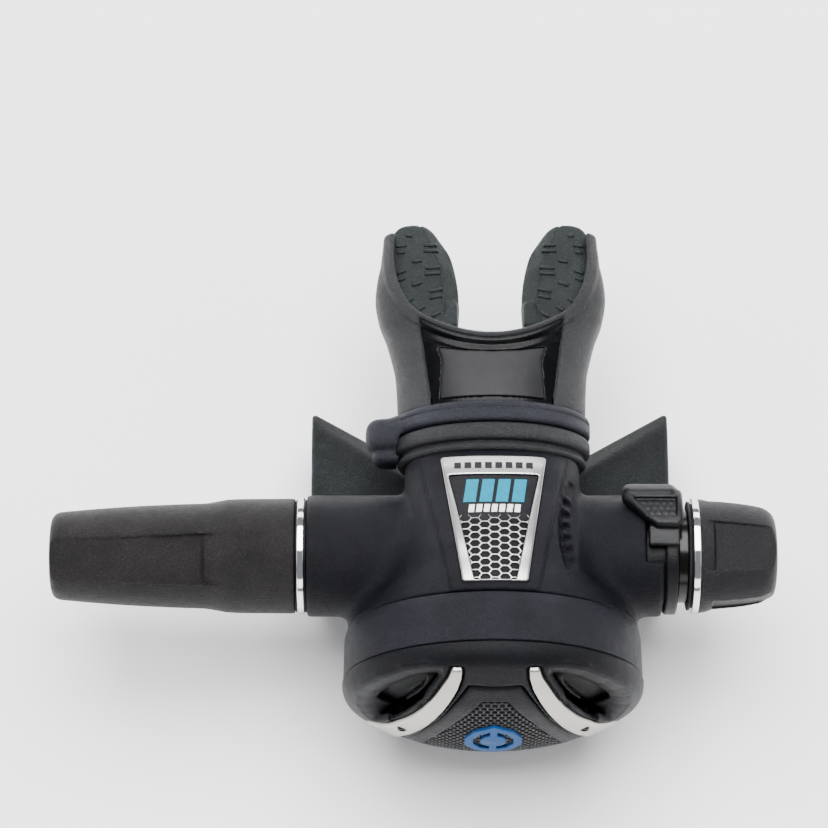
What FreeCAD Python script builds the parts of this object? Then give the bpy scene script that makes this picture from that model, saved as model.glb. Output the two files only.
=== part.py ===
import FreeCAD, Part
import math
import os

# Scuba regulator second stage: balanced barrel valve, adjustable, with an air-flow lever.
# Millimetres. X runs along the valve barrel (hose end at -X, knob end at +X), +Y points to the
# diver's mouth, -Y is the front cover, +Z is up as the regulator is worn.
# All stations below are measured from the middle of the case. The finished set is then moved so
# that the frame's origin lies on the hose inlet thread.

V = FreeCAD.Vector

# ---- driving dimensions -------------------------------------------------------------------
INLET_X = -58.0            # middle of the inlet thread; becomes the origin
INLET_R = 7.14             # 9/16-18 UNF outside radius
INLET_LEN = 12.0
BARREL_R = 15.0            # moulded barrel of the case
BARREL_X0, BARREL_X1 = -45.8, 41.7
BARREL_BORE = 12.6
VALVE_R = 9.0              # chromed valve body
VALVE_BORE = 6.5
COVER_Z = -4.0             # height of the cover's axis
RIM_R = 34.0               # case mouth that carries the cover ring
RIM_Y0, RIM_Y1 = -18.6, -24.8
RING_R = 37.4
WALL = 2.4
FIT = 0.05                 # assembly clearance round shafts
GAP = 0.35                 # gap between parts that move past each other
PURGE_TRAVEL = 4.0
KNOB_PITCH = 0.75
MOUTH_Z = 2.6
EXH_TILT = math.radians(50)
EXH_C = V(0, 10.5, -25.8)  # centre of the exhaust seat
EXH_N = V(0, math.sin(EXH_TILT), -math.cos(EXH_TILT))
BASE_Z = COVER_Z - 37.7    # lowest level: underside of the exhaust tee and of the cover

X_AXIS, Y_AXIS, Z_AXIS = V(1, 0, 0), V(0, 1, 0), V(0, 0, 1)


# ---- helpers ------------------------------------------------------------------------------
def xcyl(r, x0, x1, y=0.0, z=0.0):
    return Part.makeCylinder(r, x1 - x0, V(x0, y, z), X_AXIS)


def xtube(r_out, r_in, x0, x1):
    return xcyl(r_out, x0, x1).cut(xcyl(r_in, x0 - 1, x1 + 1))


def ycyl(r, y0, y1, x=0.0, z=COVER_Z):
    return Part.makeCylinder(r, y1 - y0, V(x, y0, z), Y_AXIS)


def box(x0, x1, y0, y1, z0, z1):
    return Part.makeBox(x1 - x0, y1 - y0, z1 - z0, V(x0, y0, z0))


def face_of(points):
    return Part.Face(Part.makePolygon(points + [points[0]]))


def xrev(profile):
    """Turn a closed (x, r) outline about the barrel axis."""
    return face_of([V(x, 0, r) for x, r in profile]).revolve(V(0, 0, 0), X_AXIS, 360)


def yrev(profile):
    """Turn a closed (r, depth) outline about the cover axis; depth is measured forward."""
    return face_of([V(r, -d, COVER_Z) for r, d in profile]).revolve(V(0, 0, COVER_Z), Y_AXIS, 360)


def prism_y(points, y0, y1):
    """Outline (x, height over the cover axis) extruded along Y."""
    return face_of([V(x, y0, z + COVER_Z) for x, z in points]).extrude(V(0, y1 - y0, 0))


def prism_z(points, z0, z1):
    return face_of([V(x, y, z0) for x, y in points]).extrude(V(0, 0, z1 - z0))


def prism_x(points, x0, x1):
    return face_of([V(x0, y, z) for y, z in points]).extrude(V(x1 - x0, 0, 0))


def oval(a, b, y, z):
    """Elliptic wire in a plane across Y."""
    curve = Part.Circle(V(0, 0, 0), Z_AXIS, a) if abs(a - b) < 1e-6 else Part.Ellipse(V(0, 0, 0), a, b)
    wire = Part.Wire([curve.toShape()])
    wire.Placement = FreeCAD.Placement(V(0, y, z), FreeCAD.Rotation(X_AXIS, 90))
    return wire


def oval_loft(sections, grow=0.0):
    return Part.makeLoft([oval(a + grow, b + grow, y, z) for y, a, b, z in sections], True, False)


def oval_band(a, b, y0, y1, z=MOUTH_Z):
    return Part.Face(oval(a, b, y0, z)).extrude(V(0, y1 - y0, 0))


def coil(radius, wire_r, length, turns):
    """Closed helical spring along +Z from the origin, in short straight-sided lengths of wire."""
    pitch = (length - 2 * wire_r) / turns
    steps = 16
    rings = []
    for k in range(steps * turns + 1):
        around = Part.makePolygon([V(radius + wire_r * math.cos(math.radians(60 * i)), 0,
                                     wire_r * math.sin(math.radians(60 * i))) for i in range(7)])
        around.rotate(V(0, 0, 0), Z_AXIS, 360.0 * k / steps)
        around.translate(V(0, 0, wire_r + pitch * k / steps))
        rings.append(Part.Wire(around.Edges))
    return Part.makeLoft(rings, True, True)


def along_x(shape, x):
    shape.rotate(V(0, 0, 0), Y_AXIS, 90)
    shape.translate(V(x, 0, 0))
    return shape


def along_y(shape, y):
    shape.rotate(V(0, 0, 0), X_AXIS, -90)
    shape.translate(V(0, y, COVER_Z))
    return shape


def along_exhaust(shape, offset=0.0):
    """Put a shape built along +Z from the origin onto the exhaust axis."""
    shape.Placement = FreeCAD.Placement(EXH_C + EXH_N * offset, FreeCAD.Rotation(Z_AXIS, EXH_N))
    return shape


def o_ring(x, r_mid, r_cord):
    return Part.makeTorus(r_mid, r_cord, V(x, 0, 0), X_AXIS)


def hexagon(radius, cx, cz):
    return [(cx + radius * math.cos(math.radians(60 * k + 30)),
             cz + radius * math.sin(math.radians(60 * k + 30))) for k in range(6)]


def mirrored(shape):
    return shape.mirror(V(0, 0, 0), X_AXIS)


def single(shape):
    """Keep the largest solid of a boolean result."""
    solids = sorted(shape.Solids, key=lambda s: s.Volume)
    return solids[-1]


# ---- case ---------------------------------------------------------------------------------
# (y, half width, half height, centre height)
CASE_SECTIONS = [
    (-18.6, 36.0, 36.0, COVER_Z),
    (-8.0, 35.0, 33.25, -3.75),
    (6.0, 29.0, 27.4, -2.6),
    (16.0, 22.6, 19.6, 1.4),
    (21.4, 21.8, 16.2, MOUTH_Z),
]
NECK = (20.6, 13.9)


def cylinder_on_exhaust(r, start, end):
    return along_exhaust(Part.makeCylinder(r, end - start), start)


def make_case():
    shell = oval_loft(CASE_SECTIONS)
    shell = shell.fuse(xcyl(BARREL_R, BARREL_X0, BARREL_X1))
    shell = shell.fuse(ycyl(RIM_R, RIM_Y1, RIM_Y0 + 0.2))
    shell = shell.fuse(oval_band(NECK[0], NECK[1], 20.0, 36.0))
    shell = shell.fuse(cylinder_on_exhaust(12.0, -7.0, 0.0))
    hollow = oval_loft(CASE_SECTIONS, -WALL)
    hollow = hollow.fuse(ycyl(RIM_R - WALL, RIM_Y1 - 1, RIM_Y0 + 2))
    hollow = hollow.fuse(oval_band(NECK[0] - WALL, NECK[1] - WALL, 18.0, 37.0))
    hollow = hollow.fuse(xcyl(BARREL_BORE, -43.0, BARREL_X1 + 1))
    shell = shell.cut(hollow)
    shell = shell.cut(xcyl(VALVE_R + FIT, BARREL_X0 - 1, -42.0))
    # the exhaust port: three spokes and a hub left standing in a round hole
    port = cylinder_on_exhaust(9.6, -12.0, 1.0).cut(cylinder_on_exhaust(3.0, -13.0, 2.0))
    for k in range(3):
        spoke = Part.makeBox(12.0, 1.8, 14.0, V(0, -0.9, -13.0))
        spoke.rotate(V(0, 0, 0), Z_AXIS, 90 + 120 * k)
        port = port.cut(along_exhaust(spoke, 0))
    shell = shell.cut(cylinder_on_exhaust(9.6, -12.0, -3.0)).cut(port)
    shell = shell.cut(cylinder_on_exhaust(1.55, -12.0, 1.0))
    # slot for the air-flow lever, open at the barrel's end
    shell = shell.cut(sector(BARREL_R + 3, BARREL_BORE - 0.5, 37.3, 50.0, *LEVER_SLOT))
    return single(shell)


def make_rim_ring():
    """Threaded ring that clamps the cover and the diaphragm to the case."""
    return yrev([(RIM_R + 0.1, 18.8), (36.7, 18.8), (RING_R - 0.2, 21), (RING_R, 31.1), (RIM_R + 0.1, 31.1)])


# ---- front cover --------------------------------------------------------------------------
# (radius, depth) of the dome's outside, from the ring to the middle
DOME = [(37.4, 31.3), (37.7, 34.0), (37.0, 35.5), (34.7, 37.0), (30.4, 39.4), (25.8, 41.7),
        (20.0, 43.9), (10.0, 45.5), (0.0, 46.0)]
BLADE_OUTER = [(-10.4, 32), (-13.7, 25.5), (-18.7, 15), (-22.1, 7.3), (-27.3, -5), (-31.2, -12.4)]
BLADE_INNER = [(-23.6, -12.6), (-21.7, -5), (-17.8, 6), (-13.5, 16), (-9.2, 25.5), (-7.9, 29.8), (-7.8, 32.6)]
BELL_R = 28.0


def bell(grow=0.0):
    """Outline of the purge button: narrow at the top, wide at the chin, round below."""
    side = [(6.2, 27.0), (10.4, 17.0), (15.6, 4.5), (20.6, -10.0), (22.0, -17.3)]
    right = [(x + grow, z + (grow if k == 0 else 0)) for k, (x, z) in enumerate(side)]
    start = math.atan2(-17.3, 22.0)
    arc = []
    for k in range(1, 12):
        a = start + (-math.pi - 2 * start) * k / 12
        arc.append(((BELL_R + grow) * math.cos(a), (BELL_R + grow) * math.sin(a)))
    return right + arc + [(-x, z) for x, z in reversed(right)]


def dome_solid(lower=0.0, back=30.0, r_max=40.0):
    """Everything under the dome, lowered by a set amount, down to a back plane."""
    pts = [(r, d - lower) for r, d in DOME if r <= r_max]
    return yrev(pts + [(0, back), (pts[0][0], back)])


def vent_outline(side):
    """Area between a blade and the rim, left (-1) or right (+1)."""
    edge = [(-10.9, 34.0)] + [(x - 1.3, z) for x, z in BLADE_OUTER] + [(-33.5, -15.5)]
    pts = edge + [(-50, -20), (-50, 40), (-11, 40)]
    return [(-side * x, z) for x, z in pts]


def make_cover():
    inner = [(34.0 - WALL, 25.7), (RIM_R, 25.7), (RIM_R, 31.3)]
    shell = yrev(inner + DOME + [(0, 43.6), (10, 43.1), (19.3, 41.6), (24.8, 39.5), (31.6, 35.8)])
    shell = shell.cut(prism_y(bell(0.45), -50, -30))
    for side in (-1, 1):
        opening = prism_y(vent_outline(side), -50, -33.3).common(ycyl(33.4, -50, -33.3))
        shell = shell.cut(opening)
        # grille floor of the vent: a web with three slots
        floor = prism_y(vent_outline(side), -34.6, -33.1).common(ycyl(33.0, -34.6, -33.1))
        for z0, z1, x1 in ((-9, -1, 26.5), (1, 9, 24.0), (11, 19, 20.5)):
            floor = floor.cut(box(min(side * x1, side * 31), max(side * x1, side * 31), -36, -32,
                                  COVER_Z + z0, COVER_Z + z1))
        shell = shell.fuse(floor.common(ycyl(33.0, -36, -32)))
        for x, z in BLADE_SCREWS:
            shell = shell.cut(ycyl(1.05, -50, -38.0, side * x, COVER_Z + z))
    # spider that guides the purge button's stem
    spider = ycyl(7.0, -31.4, -29.6)
    for k in range(4):
        arm = box(0, 33, -31.4, -29.6, -1.6, 1.6)
        arm.rotate(V(0, 0, 0), Y_AXIS, 45 + 90 * k)
        arm.translate(V(0, 0, COVER_Z))
        spider = spider.fuse(arm)
    spider = spider.cut(ycyl(4.1, -35, -25))
    shell = shell.fuse(spider)
    for side in (-1, 1):
        shell = shell.cut(blade_body(side, -0.9, 0.6))
    return single(shell)


BLADE_SCREWS = [(24.2, -8.3)]


def blade_body(side, low, high):
    pts = [(-side * x, z) for x, z in BLADE_OUTER + BLADE_INNER]
    band = prism_y(pts, -50, -30).common(dome_solid(-high, 30.0).cut(dome_solid(-low, 29.0)))
    return band


def make_blade(side):
    plate = blade_body(side, -0.9, 0.5)
    for x, z in BLADE_SCREWS:
        plate = plate.cut(ycyl(1.1, -50, -30, side * x, COVER_Z + z))
    return single(plate)


def make_blade_screws():
    parts = []
    for side in (-1, 1):
        for x, z in BLADE_SCREWS:
            r = math.hypot(x, z)
            top = -(41.7 + (25.8 - r) * 0.45)
            screw = ycyl(1.0, top - 0.2, -38.0, side * x, COVER_Z + z)
            screw = screw.cut(prism_y(hexagon(0.5, side * x, z), top - 1, top + 0.5))
            parts.append(screw)
    return Part.makeCompound(parts)


def mesh_outline(grow=0.0):
    side = [(3.4, 22.0), (10.6, 8.6), (15.6, -6.0), (17.6, -14.4)]
    start = math.atan2(-14.4, 17.6)
    arc = []
    for k in range(1, 10):
        a = start + (-math.pi - 2 * start) * k / 10
        arc.append((22.8 * math.cos(a), 22.8 * math.sin(a)))
    pts = side + arc + [(-x, z) for x, z in reversed(side)]
    return [(x + math.copysign(grow, x), z + (grow if z > 20 else 0)) for x, z in pts]


def make_purge_button():
    body = prism_y(bell(), -50, -36.6).common(dome_solid(0.2, 30.0))
    pocket = prism_y([(x * 0.9, z * 0.9) for x, z in bell()], -50, -36.0).common(dome_solid(2.8, 30.0))
    body = body.cut(pocket)
    seat = prism_y(mesh_outline(0.1), -50, -30).common(dome_solid(-1.0, 30.0).cut(dome_solid(1.1, 29.0)))
    body = body.cut(seat)
    return single(body.fuse(ycyl(4.0, -43.5, -26.1)))


def make_purge_mesh():
    plate = prism_y(mesh_outline(), -50, -30).common(dome_solid(0.4, 30.0).cut(dome_solid(1.1, 29.0)))
    pitch = 3.5
    cells = []
    for row in range(-9, 9):
        for col in range(-6, 7):
            cx = (col + 0.5 * (row % 2)) * pitch
            cz = row * pitch * 0.866
            inside = abs(cx) < 1.6 + (22.0 - cz) * 0.44 and math.hypot(cx, cz) < 20.6
            if inside and cz < 18 and math.hypot(cx / 8.2, (cz + 1) / 12.5) > 1.0:
                cells.append(prism_y(hexagon(1.6, cx, cz), -50, -38))
    return single(plate.cut(Part.makeCompound(cells)))


def emblem_outline(scale):
    pts = [(0, 11), (4.6, 7.4), (7, 1.5), (7, -4.5), (4.6, -10), (0, -13)]
    return [(x * scale, z * scale) for x, z in pts] + [(-x * scale, z * scale) for x, z in reversed(pts[1:-1])]


def make_purge_emblem():
    ring = prism_y(emblem_outline(1.0), -50, -40).cut(prism_y(emblem_outline(0.72), -51, -39))
    core = prism_y(emblem_outline(0.46), -50, -40)
    bridge = prism_y([(-1.2, 9.0), (1.2, 9.0), (1.2, -10.5), (-1.2, -10.5)], -50, -40)
    return single(ring.fuse(core).fuse(bridge).common(dome_solid(-0.5, 30.0).cut(dome_solid(0.4, 29.0))))


def make_diaphragm():
    return yrev([(0, 24.9), (12.5, 24.9), (14.5, 23.6), (20, 23.0), (27, 23.4), (29.5, 24.9), (33.7, 24.9),
                 (33.7, 25.65), (29.2, 25.65), (26.6, 24.2), (20, 23.8), (14.9, 24.4), (12.8, 25.7), (0, 25.7)])


def make_diaphragm_plate():
    return yrev([(0, 24.0), (12.2, 24.0), (12.2, 24.88), (0, 24.88)])


def make_purge_spring():
    return along_y(coil(5.0, 0.4, 9.0, 5), -40.5)


# ---- barrel valve -------------------------------------------------------------------------
def make_valve_body():
    body = xtube(VALVE_R, VALVE_BORE, -53.0, 45.3)
    body = body.cut(box(8.6, 22.0, -12, -3.0, -3.4, 3.4))          # window for the lever's foot
    body = body.cut(box(-13.5, -4.0, 2.0, 12, -4.0, 4.0))          # outlet towards the mouth
    for z0, z1 in ((-5.2, -3.7), (3.7, 5.2)):
        ear = box(13.6, 18.4, -12.6, -6.0, z0, z1).cut(xcyl(VALVE_BORE + 0.5, 10, 20))
        body = body.fuse(ear)
    body = body.cut(Part.makeCylinder(LEVER_PIN_R + 0.02, 12, V(PIVOT[0], PIVOT[1], -6), Z_AXIS))
    for x in BODY_RINGS:
        body = body.cut(xtube(VALVE_R + 1, VALVE_R - 1.45, x - 0.9, x + 0.9))
    return single(body)


PIVOT = (16.0, -10.6)
LEVER_PIN_R = 0.8
BODY_RINGS = (-41.0, 36.0)


def make_body_rings():
    return Part.makeCompound([o_ring(x, VALVE_R - 0.72, 0.7) for x in BODY_RINGS])


def make_inlet_fitting():
    """Male inlet stub; its bore leads the air to the orifice."""
    x0 = INLET_X - INLET_LEN / 2 + 1.5
    stub = xrev([(x0, 2.6), (x0, INLET_R - 0.6), (x0 + 0.6, INLET_R), (-53.6, INLET_R), (-53.6, 2.6)])
    shoulder = xtube(VALVE_R, 2.6, -53.6, -53.0)
    spigot = xtube(VALVE_BORE - FIT, 2.6, -53.0, -47.0)
    return stub.fuse(shoulder).fuse(spigot)


def make_orifice():
    tube = xrev([(-46.5, 1.8), (-46.5, 6.45), (-22, 6.45), (-20, 4.4), (-15.2, 4.4), (-14.0, 2.5), (-14.0, 1.8)])
    return tube.cut(xtube(VALVE_BORE + 1, 5.2, -31.1, -28.9))


def make_orifice_ring():
    return o_ring(-30.0, 5.85, 0.62)


def make_poppet():
    """Sliding poppet: a head with four flats, then a slim stem with a lift collar."""
    head = xrev([(-13.2, 0), (-13.2, 5.6), (3.0, 5.6), (5.0, 2.0), (14.6, 2.0), (14.6, 4.6), (16.4, 4.6),
                 (16.4, 2.0), (33.0, 2.0), (33.0, 0)])
    head = head.cut(xcyl(4.4, -14, -11.8))
    for k in range(4):
        flat = box(-14, 2.6, 5.0, 8, -8, 8)
        flat.rotate(V(0, 0, 0), X_AXIS, 90 * k)
        head = head.cut(flat)
    return head


def make_poppet_seat():
    return xcyl(4.35, -13.7, -11.8)


def make_poppet_spring():
    return along_x(coil(3.4, 0.45, 12.0, 7), 16.5)


def make_balance_chamber():
    """Sleeve that closes the spring's far end; the control screw draws it along the barrel."""
    body = xrev([(28.6, 2.06), (28.6, 6.44), (37.0, 6.44), (37.0, 3.3), (34.0, 3.3), (34.0, 2.06)])
    return body.cut(xtube(VALVE_BORE + 1, 5.2, 31.9, 34.1))


def make_balance_ring():
    return o_ring(33.0, 5.85, 0.62)


def make_lever_pin():
    return Part.makeCylinder(LEVER_PIN_R, 10.4, V(PIVOT[0], PIVOT[1], -5.2), Z_AXIS)


def make_demand_lever():
    px, py = PIVOT
    boss = Part.makeCylinder(1.9, 6.8, V(px, py, -3.4), Z_AXIS)
    arm = prism_z([(px - 0.6, py - 1.6), (px + 0.4, py - 0.4), (0.6, -21.6), (-0.2, -22.7)], -2.6, 2.6)
    pad = Part.makeCylinder(1.0, 5.2, V(0, -22.6, -2.6), Z_AXIS)
    foot = prism_z([(px - 1.7, py), (px + 0.6, py + 1.0), (14.3, -5.2), (14.3, -3.2), (12.9, -3.4)], -2.2, 2.2)
    lever = boss.fuse([arm, pad, foot])
    return lever.cut(Part.makeCylinder(LEVER_PIN_R + FIT, 9, V(px, py, -4.5), Z_AXIS))


def make_lock_nut():
    nut = Part.Face(Part.makePolygon([V(-52.6, 11.3 * math.cos(math.radians(60 * k)),
                                        11.3 * math.sin(math.radians(60 * k))) for k in range(7)]))
    nut = nut.extrude(V(4.3, 0, 0))
    nut = nut.common(xrev([(-52.6, 0), (-52.6, 10.7), (-51.9, 11.3), (-49.0, 11.3), (-48.3, 10.7), (-48.3, 0)]))
    return nut.cut(xcyl(VALVE_R + FIT, -60, -40))


def make_trim_ring():
    ring = xrev([(-48.2, VALVE_R + FIT), (-48.2, 13.8), (-47.9, 14.2), (-46.3, 14.2), (-46.0, 13.8),
                 (-45.9, 13.0), (-45.8, 13.0), (-45.8, VALVE_R + FIT)])
    return ring


def make_hose_sleeve():
    """Rubber strain-relief sleeve with four long thumb flutes; hollow for the hose."""
    outer = [(-109.5, 8.0), (-109.5, 9.4), (-109.1, 10.2), (-108.2, 10.6), (-88, 11.5), (-72, 12.9),
             (-69.5, 13.9), (-66, 14.2), (-48.9, 14.2), (-48.6, 13.9), (-48.6, 12.0)]
    body = xrev(outer + [(-70.0, 12.0), (-78, 10.4), (-86, 9.2), (-92, 8.0)])
    for k in range(4):
        body = body.cut(flute(k * 90, -112, -67.5, 12.8, -1))
    return single(body)


def flute(angle, x0, x1, radius, way):
    """Long scooped groove running out towards the thick end; angle from straight up."""
    cut = Part.makeCylinder(7.0, x1 - x0)
    cut.rotate(V(0, 0, 0), Y_AXIS, 90)
    cut.translate(V(x0, 0, 0))
    slope = 3.6 if way < 0 else -3.6
    cut.rotate(V(x0, 0, 0), Y_AXIS, -slope)
    cut.translate(V(0, 0, radius + (3.6 if way < 0 else 6.0)))
    cut.rotate(V(0, 0, 0), X_AXIS, -angle)
    return cut


# ---- air-flow lever and knob --------------------------------------------------------------
# Angles round the barrel are counted from straight up, positive towards the mouth (+Y).
LEVER_SLOT = (-24.0, 76.0)
LEVER_STEM = (-8.0, 8.0)
LEVER_PADDLE = (5.0, 62.0)


def sector(r_out, r_in, x0, x1, a0, a1):
    """Part of a tube between two angles round the barrel, a0 < a1."""
    arc = [V(x0, 0, 0)]
    for k in range(13):
        a = math.radians(a0 + (a1 - a0) * k / 12)
        arc.append(V(x0, 1.6 * r_out * math.sin(a), 1.6 * r_out * math.cos(a)))
    wedge = face_of(arc).extrude(V(x1 - x0, 0, 0))
    return xtube(r_out, r_in, x0, x1).common(wedge)


def make_air_lever():
    collar = xtube(14.5, VALVE_R + 0.06, BARREL_X1 + 0.35, 45.3)
    stem = sector(16.2, 12.7, 37.9, 43.6, *LEVER_STEM)
    link = sector(16.2, 12.6, 42.05, 45.3, LEVER_STEM[0], 40.0)
    paddle = sector(18.3, 15.4, 32.4, 47.2, *LEVER_PADDLE)
    for k in range(3):
        groove = sector(19.0, 17.6, 34.6, 45.0, 12.0 + 11 * k, 18.0 + 11 * k)
        paddle = paddle.cut(groove)
    lever = collar.fuse([stem, link, paddle])
    return single(lever)


def make_air_vane():
    """Sleeve inside the case turned by the lever; its blade steers the air to the mouth."""
    sleeve = xtube(12.2, VALVE_R + 0.06, 37.6, BARREL_X1).fuse(xtube(10.3, VALVE_R + 0.06, 23.0, 38.0))
    key = sector(12.62, 12.0, 38.5, 41.6, *LEVER_STEM)
    blade = sector(10.3, VALVE_R + 0.06, -8.0, 24.0, 62.0, 124.0)
    drive = xtube(12.2, VALVE_R + 0.06, BARREL_X1 - 0.1, BARREL_X1 + 0.35)
    return single(sleeve.fuse([key, blade, drive]))


def make_knob_nut():
    return xrev([(45.4, 6.9), (45.4, 11.3), (45.7, 11.6), (47.8, 11.6), (48.0, 11.3), (48.0, 6.9)])


def make_control_screw():
    """Screw turned by the knob; its slim end sits in the balance chamber's socket."""
    screw = xrev([(35.7, 0), (35.7, 3.2), (38.9, 3.2), (38.9, 6.44), (48.3, 6.44), (48.3, 5.0), (62.0, 5.0), (62.0, 0)])
    return screw.cut(xcyl(1.4, 35.0, 44.0)).cut(xtube(VALVE_BORE + 1, 5.2, 40.9, 43.1))


def make_control_ring():
    return o_ring(42.0, 5.85, 0.62)


def make_knob():
    body = xrev([(48.45, 5.0 + FIT), (48.45, 12.8), (50.5, 12.8), (50.5, 13.9), (57.0, 13.5), (64.6, 12.6),
                 (66.6, 12.0), (68.4, 10.8), (69.5, 9.0), (69.9, 7.0), (69.9, 4.55), (68.6, 4.55), (68.6, 3.2),
                 (62.2, 3.2), (62.2, 5.0 + FIT)])
    for k in range(4):
        scoop = Part.makeCylinder(8.0, 26.0)
        scoop.rotate(V(0, 0, 0), Y_AXIS, 90)
        scoop.translate(V(53.2, 0, 0))
        scoop.rotate(V(53.2, 0, 0), Y_AXIS, 4.0)
        scoop.translate(V(0, 0, 20.6))
        scoop.rotate(V(0, 0, 0), X_AXIS, 10 + 90 * k)
        body = body.cut(scoop)
    return single(body)


def make_knob_ring():
    return xrev([(48.6, 12.85), (48.6, 13.6), (48.9, 13.9), (50.2, 13.9), (50.45, 13.6), (50.45, 12.85)])


def make_knob_cap():
    return xrev([(68.65, 0), (68.65, 4.5), (69.9, 4.5), (70.1, 4.2), (70.1, 0)])


def make_knob_screw():
    return xcyl(3.1, 62.05, 68.5)


# ---- exhaust ------------------------------------------------------------------------------
# (y, z) outlines of the exhaust tee, in the middle and at the outlets
TEE_MID = [(-14.0, BASE_Z), (18.0, BASE_Z), (30.5, -31.0), (30.5, -21.5), (23.0, -14.5), (-14.0, -14.5)]
TEE_END = [(0.0, -35.0), (30.0, -35.0), (42.0, -30.0), (42.0, -18.0), (37.0, -16.2), (0.0, -16.2)]


def inset(points, by):
    cy = sum(p[0] for p in points) / len(points)
    cz = sum(p[1] for p in points) / len(points)
    out = []
    for y, z in points:
        out.append((y - math.copysign(by, y - cy), z - math.copysign(by, z - cz)))
    return out


def tee_block(by=0.0, reach=45.5):
    mid, end = inset(TEE_MID, by), inset(TEE_END, by)
    block = prism_x(mid, -17.0, 17.0)
    for side in (-1, 1):
        wires = []
        for x, pts in ((16.9, mid), (reach, end)):
            wires.append(Part.makePolygon([V(side * x, y, z) for y, z in pts + [pts[0]]]))
        block = block.fuse(Part.makeLoft(wires, True, True))
    return block


def make_exhaust_tee():
    tee = tee_block().cut(tee_block(1.8, 45.5))
    for side in (-1, 1):
        end = inset(TEE_END, 1.8)
        tee = tee.cut(prism_x(end, min(44.5 * side, 47 * side), max(44.5 * side, 47 * side)))
    tee = tee.cut(oval_loft(CASE_SECTIONS)).cut(oval_band(24.6, 16.2, 20.0, 40.0))
    tee = tee.cut(xcyl(BARREL_R, BARREL_X0 - 5, BARREL_X1 + 8))
    tee = tee.cut(box(-37, 37, -20, 30, -30, 0).common(oval_loft(CASE_SECTIONS, 0.02)))
    tee = tee.cut(cylinder_on_exhaust(12.02, -9.0, 2.2))
    return single(tee)


def make_exhaust_valve():
    flap = Part.makeCylinder(11.2, 0.9)
    stem = Part.makeCylinder(1.45, 6.0, V(0, 0, -5.6))
    bulb = Part.makeCone(1.2, 2.1, 0.9, V(0, 0, -6.4)).fuse(Part.makeCylinder(2.1, 0.9, V(0, 0, -5.5)))
    return along_exhaust(flap.fuse([stem, bulb, Part.makeCylinder(3.0, 0.6, V(0, 0, 0.8))]), 0.0)


# ---- mouthpiece ---------------------------------------------------------------------------
SHIELD_OUT = [(0, 48), (20, 50), (27.0, 57.5), (29.0, 64.0), (29.3, 69.0), (28.6, 74.5), (27.2, 79.5),
              (26.0, 83.2), (25.2, 83.8)]
SHIELD_IN = [(24.0, 83.2), (24.4, 77.4), (23.8, 71.9), (22.5, 67.0), (19.6, 61.5), (13.8, 57.8), (7.0, 54.5),
             (0, 53.7)]
TAB = [(9.0, 64.5), (8.4, 70.5), (8.9, 75.0), (10.6, 79.5), (13.2, 83.5), (17.0, 87.0), (20.5, 87.9),
       (24.0, 86.4), (24.9, 83.0), (24.9, 70.0), (22.9, 64.5), (18.5, 61.3), (12.0, 61.3)]
MOUTH_SECTIONS = [(34.6, 23.6, 15.2, MOUTH_Z), (42.0, 23.8, 14.6, 2.2), (50.0, 24.6, 13.8, 1.4),
                  (58.0, 26.4, 13.2, 0.8), (66.0, 28.4, 12.6, 0.4)]


def both_sides(points):
    return points + [(-x, y) for x, y in reversed(points) if abs(x) > 1e-6]


def make_mouthpiece():
    body = oval_loft(MOUTH_SECTIONS)
    for a, b, y0, y1 in ((23.6, 16.0, 21.5, 23.8), (23.0, 15.2, 23.7, 24.3), (24.4, 16.6, 24.2, 28.8),
                         (23.1, 15.5, 28.7, 34.7)):
        body = body.fuse(oval_band(a, b, y0, y1))
    profile = prism_x([(44, 14.5), (60, 14.0), (72, 11.0), (86, 8.0), (86, -9.0), (72, -11.5), (60, -13.5),
                       (44, -13.5)], -32, 32)
    body = body.fuse(prism_z(both_sides(SHIELD_OUT), -14, 15).common(profile))
    body = body.cut(prism_z(bite_space(), -20, 20))
    body = body.cut(oval_band(15.0, 8.0, 30.0, 66.0, 1.6))
    for side in (-1, 1):
        pts = [(side * x, y) for x, y in TAB]
        body = body.fuse(prism_z(pts, -2.6, 1.2))
    body = body.cut(oval_band(NECK[0] + FIT, NECK[1] + FIT, 20.0, 36.0))
    body = body.cut(oval_loft([(35.9, 18.0, 11.2, MOUTH_Z), (44.0, 15.0, 8.6, 1.8)]))
    return single(body)


def bite_space():
    """Plan outline of the space for the teeth inside the curved lip shield."""
    left = [(-x, y) for x, y in SHIELD_IN]
    right = [(x, y) for x, y in reversed(SHIELD_IN[:-1])]
    return left + right + [(24.0, 95), (-24.0, 95)]


def make_mouthpiece_tie():
    band = oval_band(24.3, 16.7, 29.2, 34.0).cut(oval_band(23.15, 15.55, 28, 36))
    head = box(-28.6, -22.6, 28.6, 34.6, 1.2, 8.2).cut(oval_band(23.9, 16.3, 20, 40))
    head = head.fuse(box(-29.6, -23.0, 24.4, 29.2, 2.4, 7.2).cut(oval_band(24.6, 16.8, 20, 40)))
    return single(band.fuse(head))


# ---- name plate and side marks ------------------------------------------------------------
def plate_outline(inset_by=0.0):
    d = inset_by
    return [(-13.2 + d, 19.1 - d), (13.2 - d, 19.1 - d), (8.25 - d * 0.8, -15.2 + d), (-8.25 + d * 0.8, -15.2 + d)]


PANEL = [(-11.1, 14.6), (11.1, 14.6), (5.6, -13.9), (-5.6, -13.9)]


def make_name_plate():
    skin = oval_loft(CASE_SECTIONS, 0.9).cut(oval_loft(CASE_SECTIONS))
    plate = prism_z(plate_outline(), 0, 50).common(skin)
    return single(plate.cut(prism_z(PANEL, 0, 50)))


def make_plate_panel():
    skin = oval_loft(CASE_SECTIONS, 0.5).cut(oval_loft(CASE_SECTIONS))
    return single(prism_z([(x * 0.985, y - 0.02 * y) for x, y in PANEL], 0, 50).common(skin))


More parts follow.
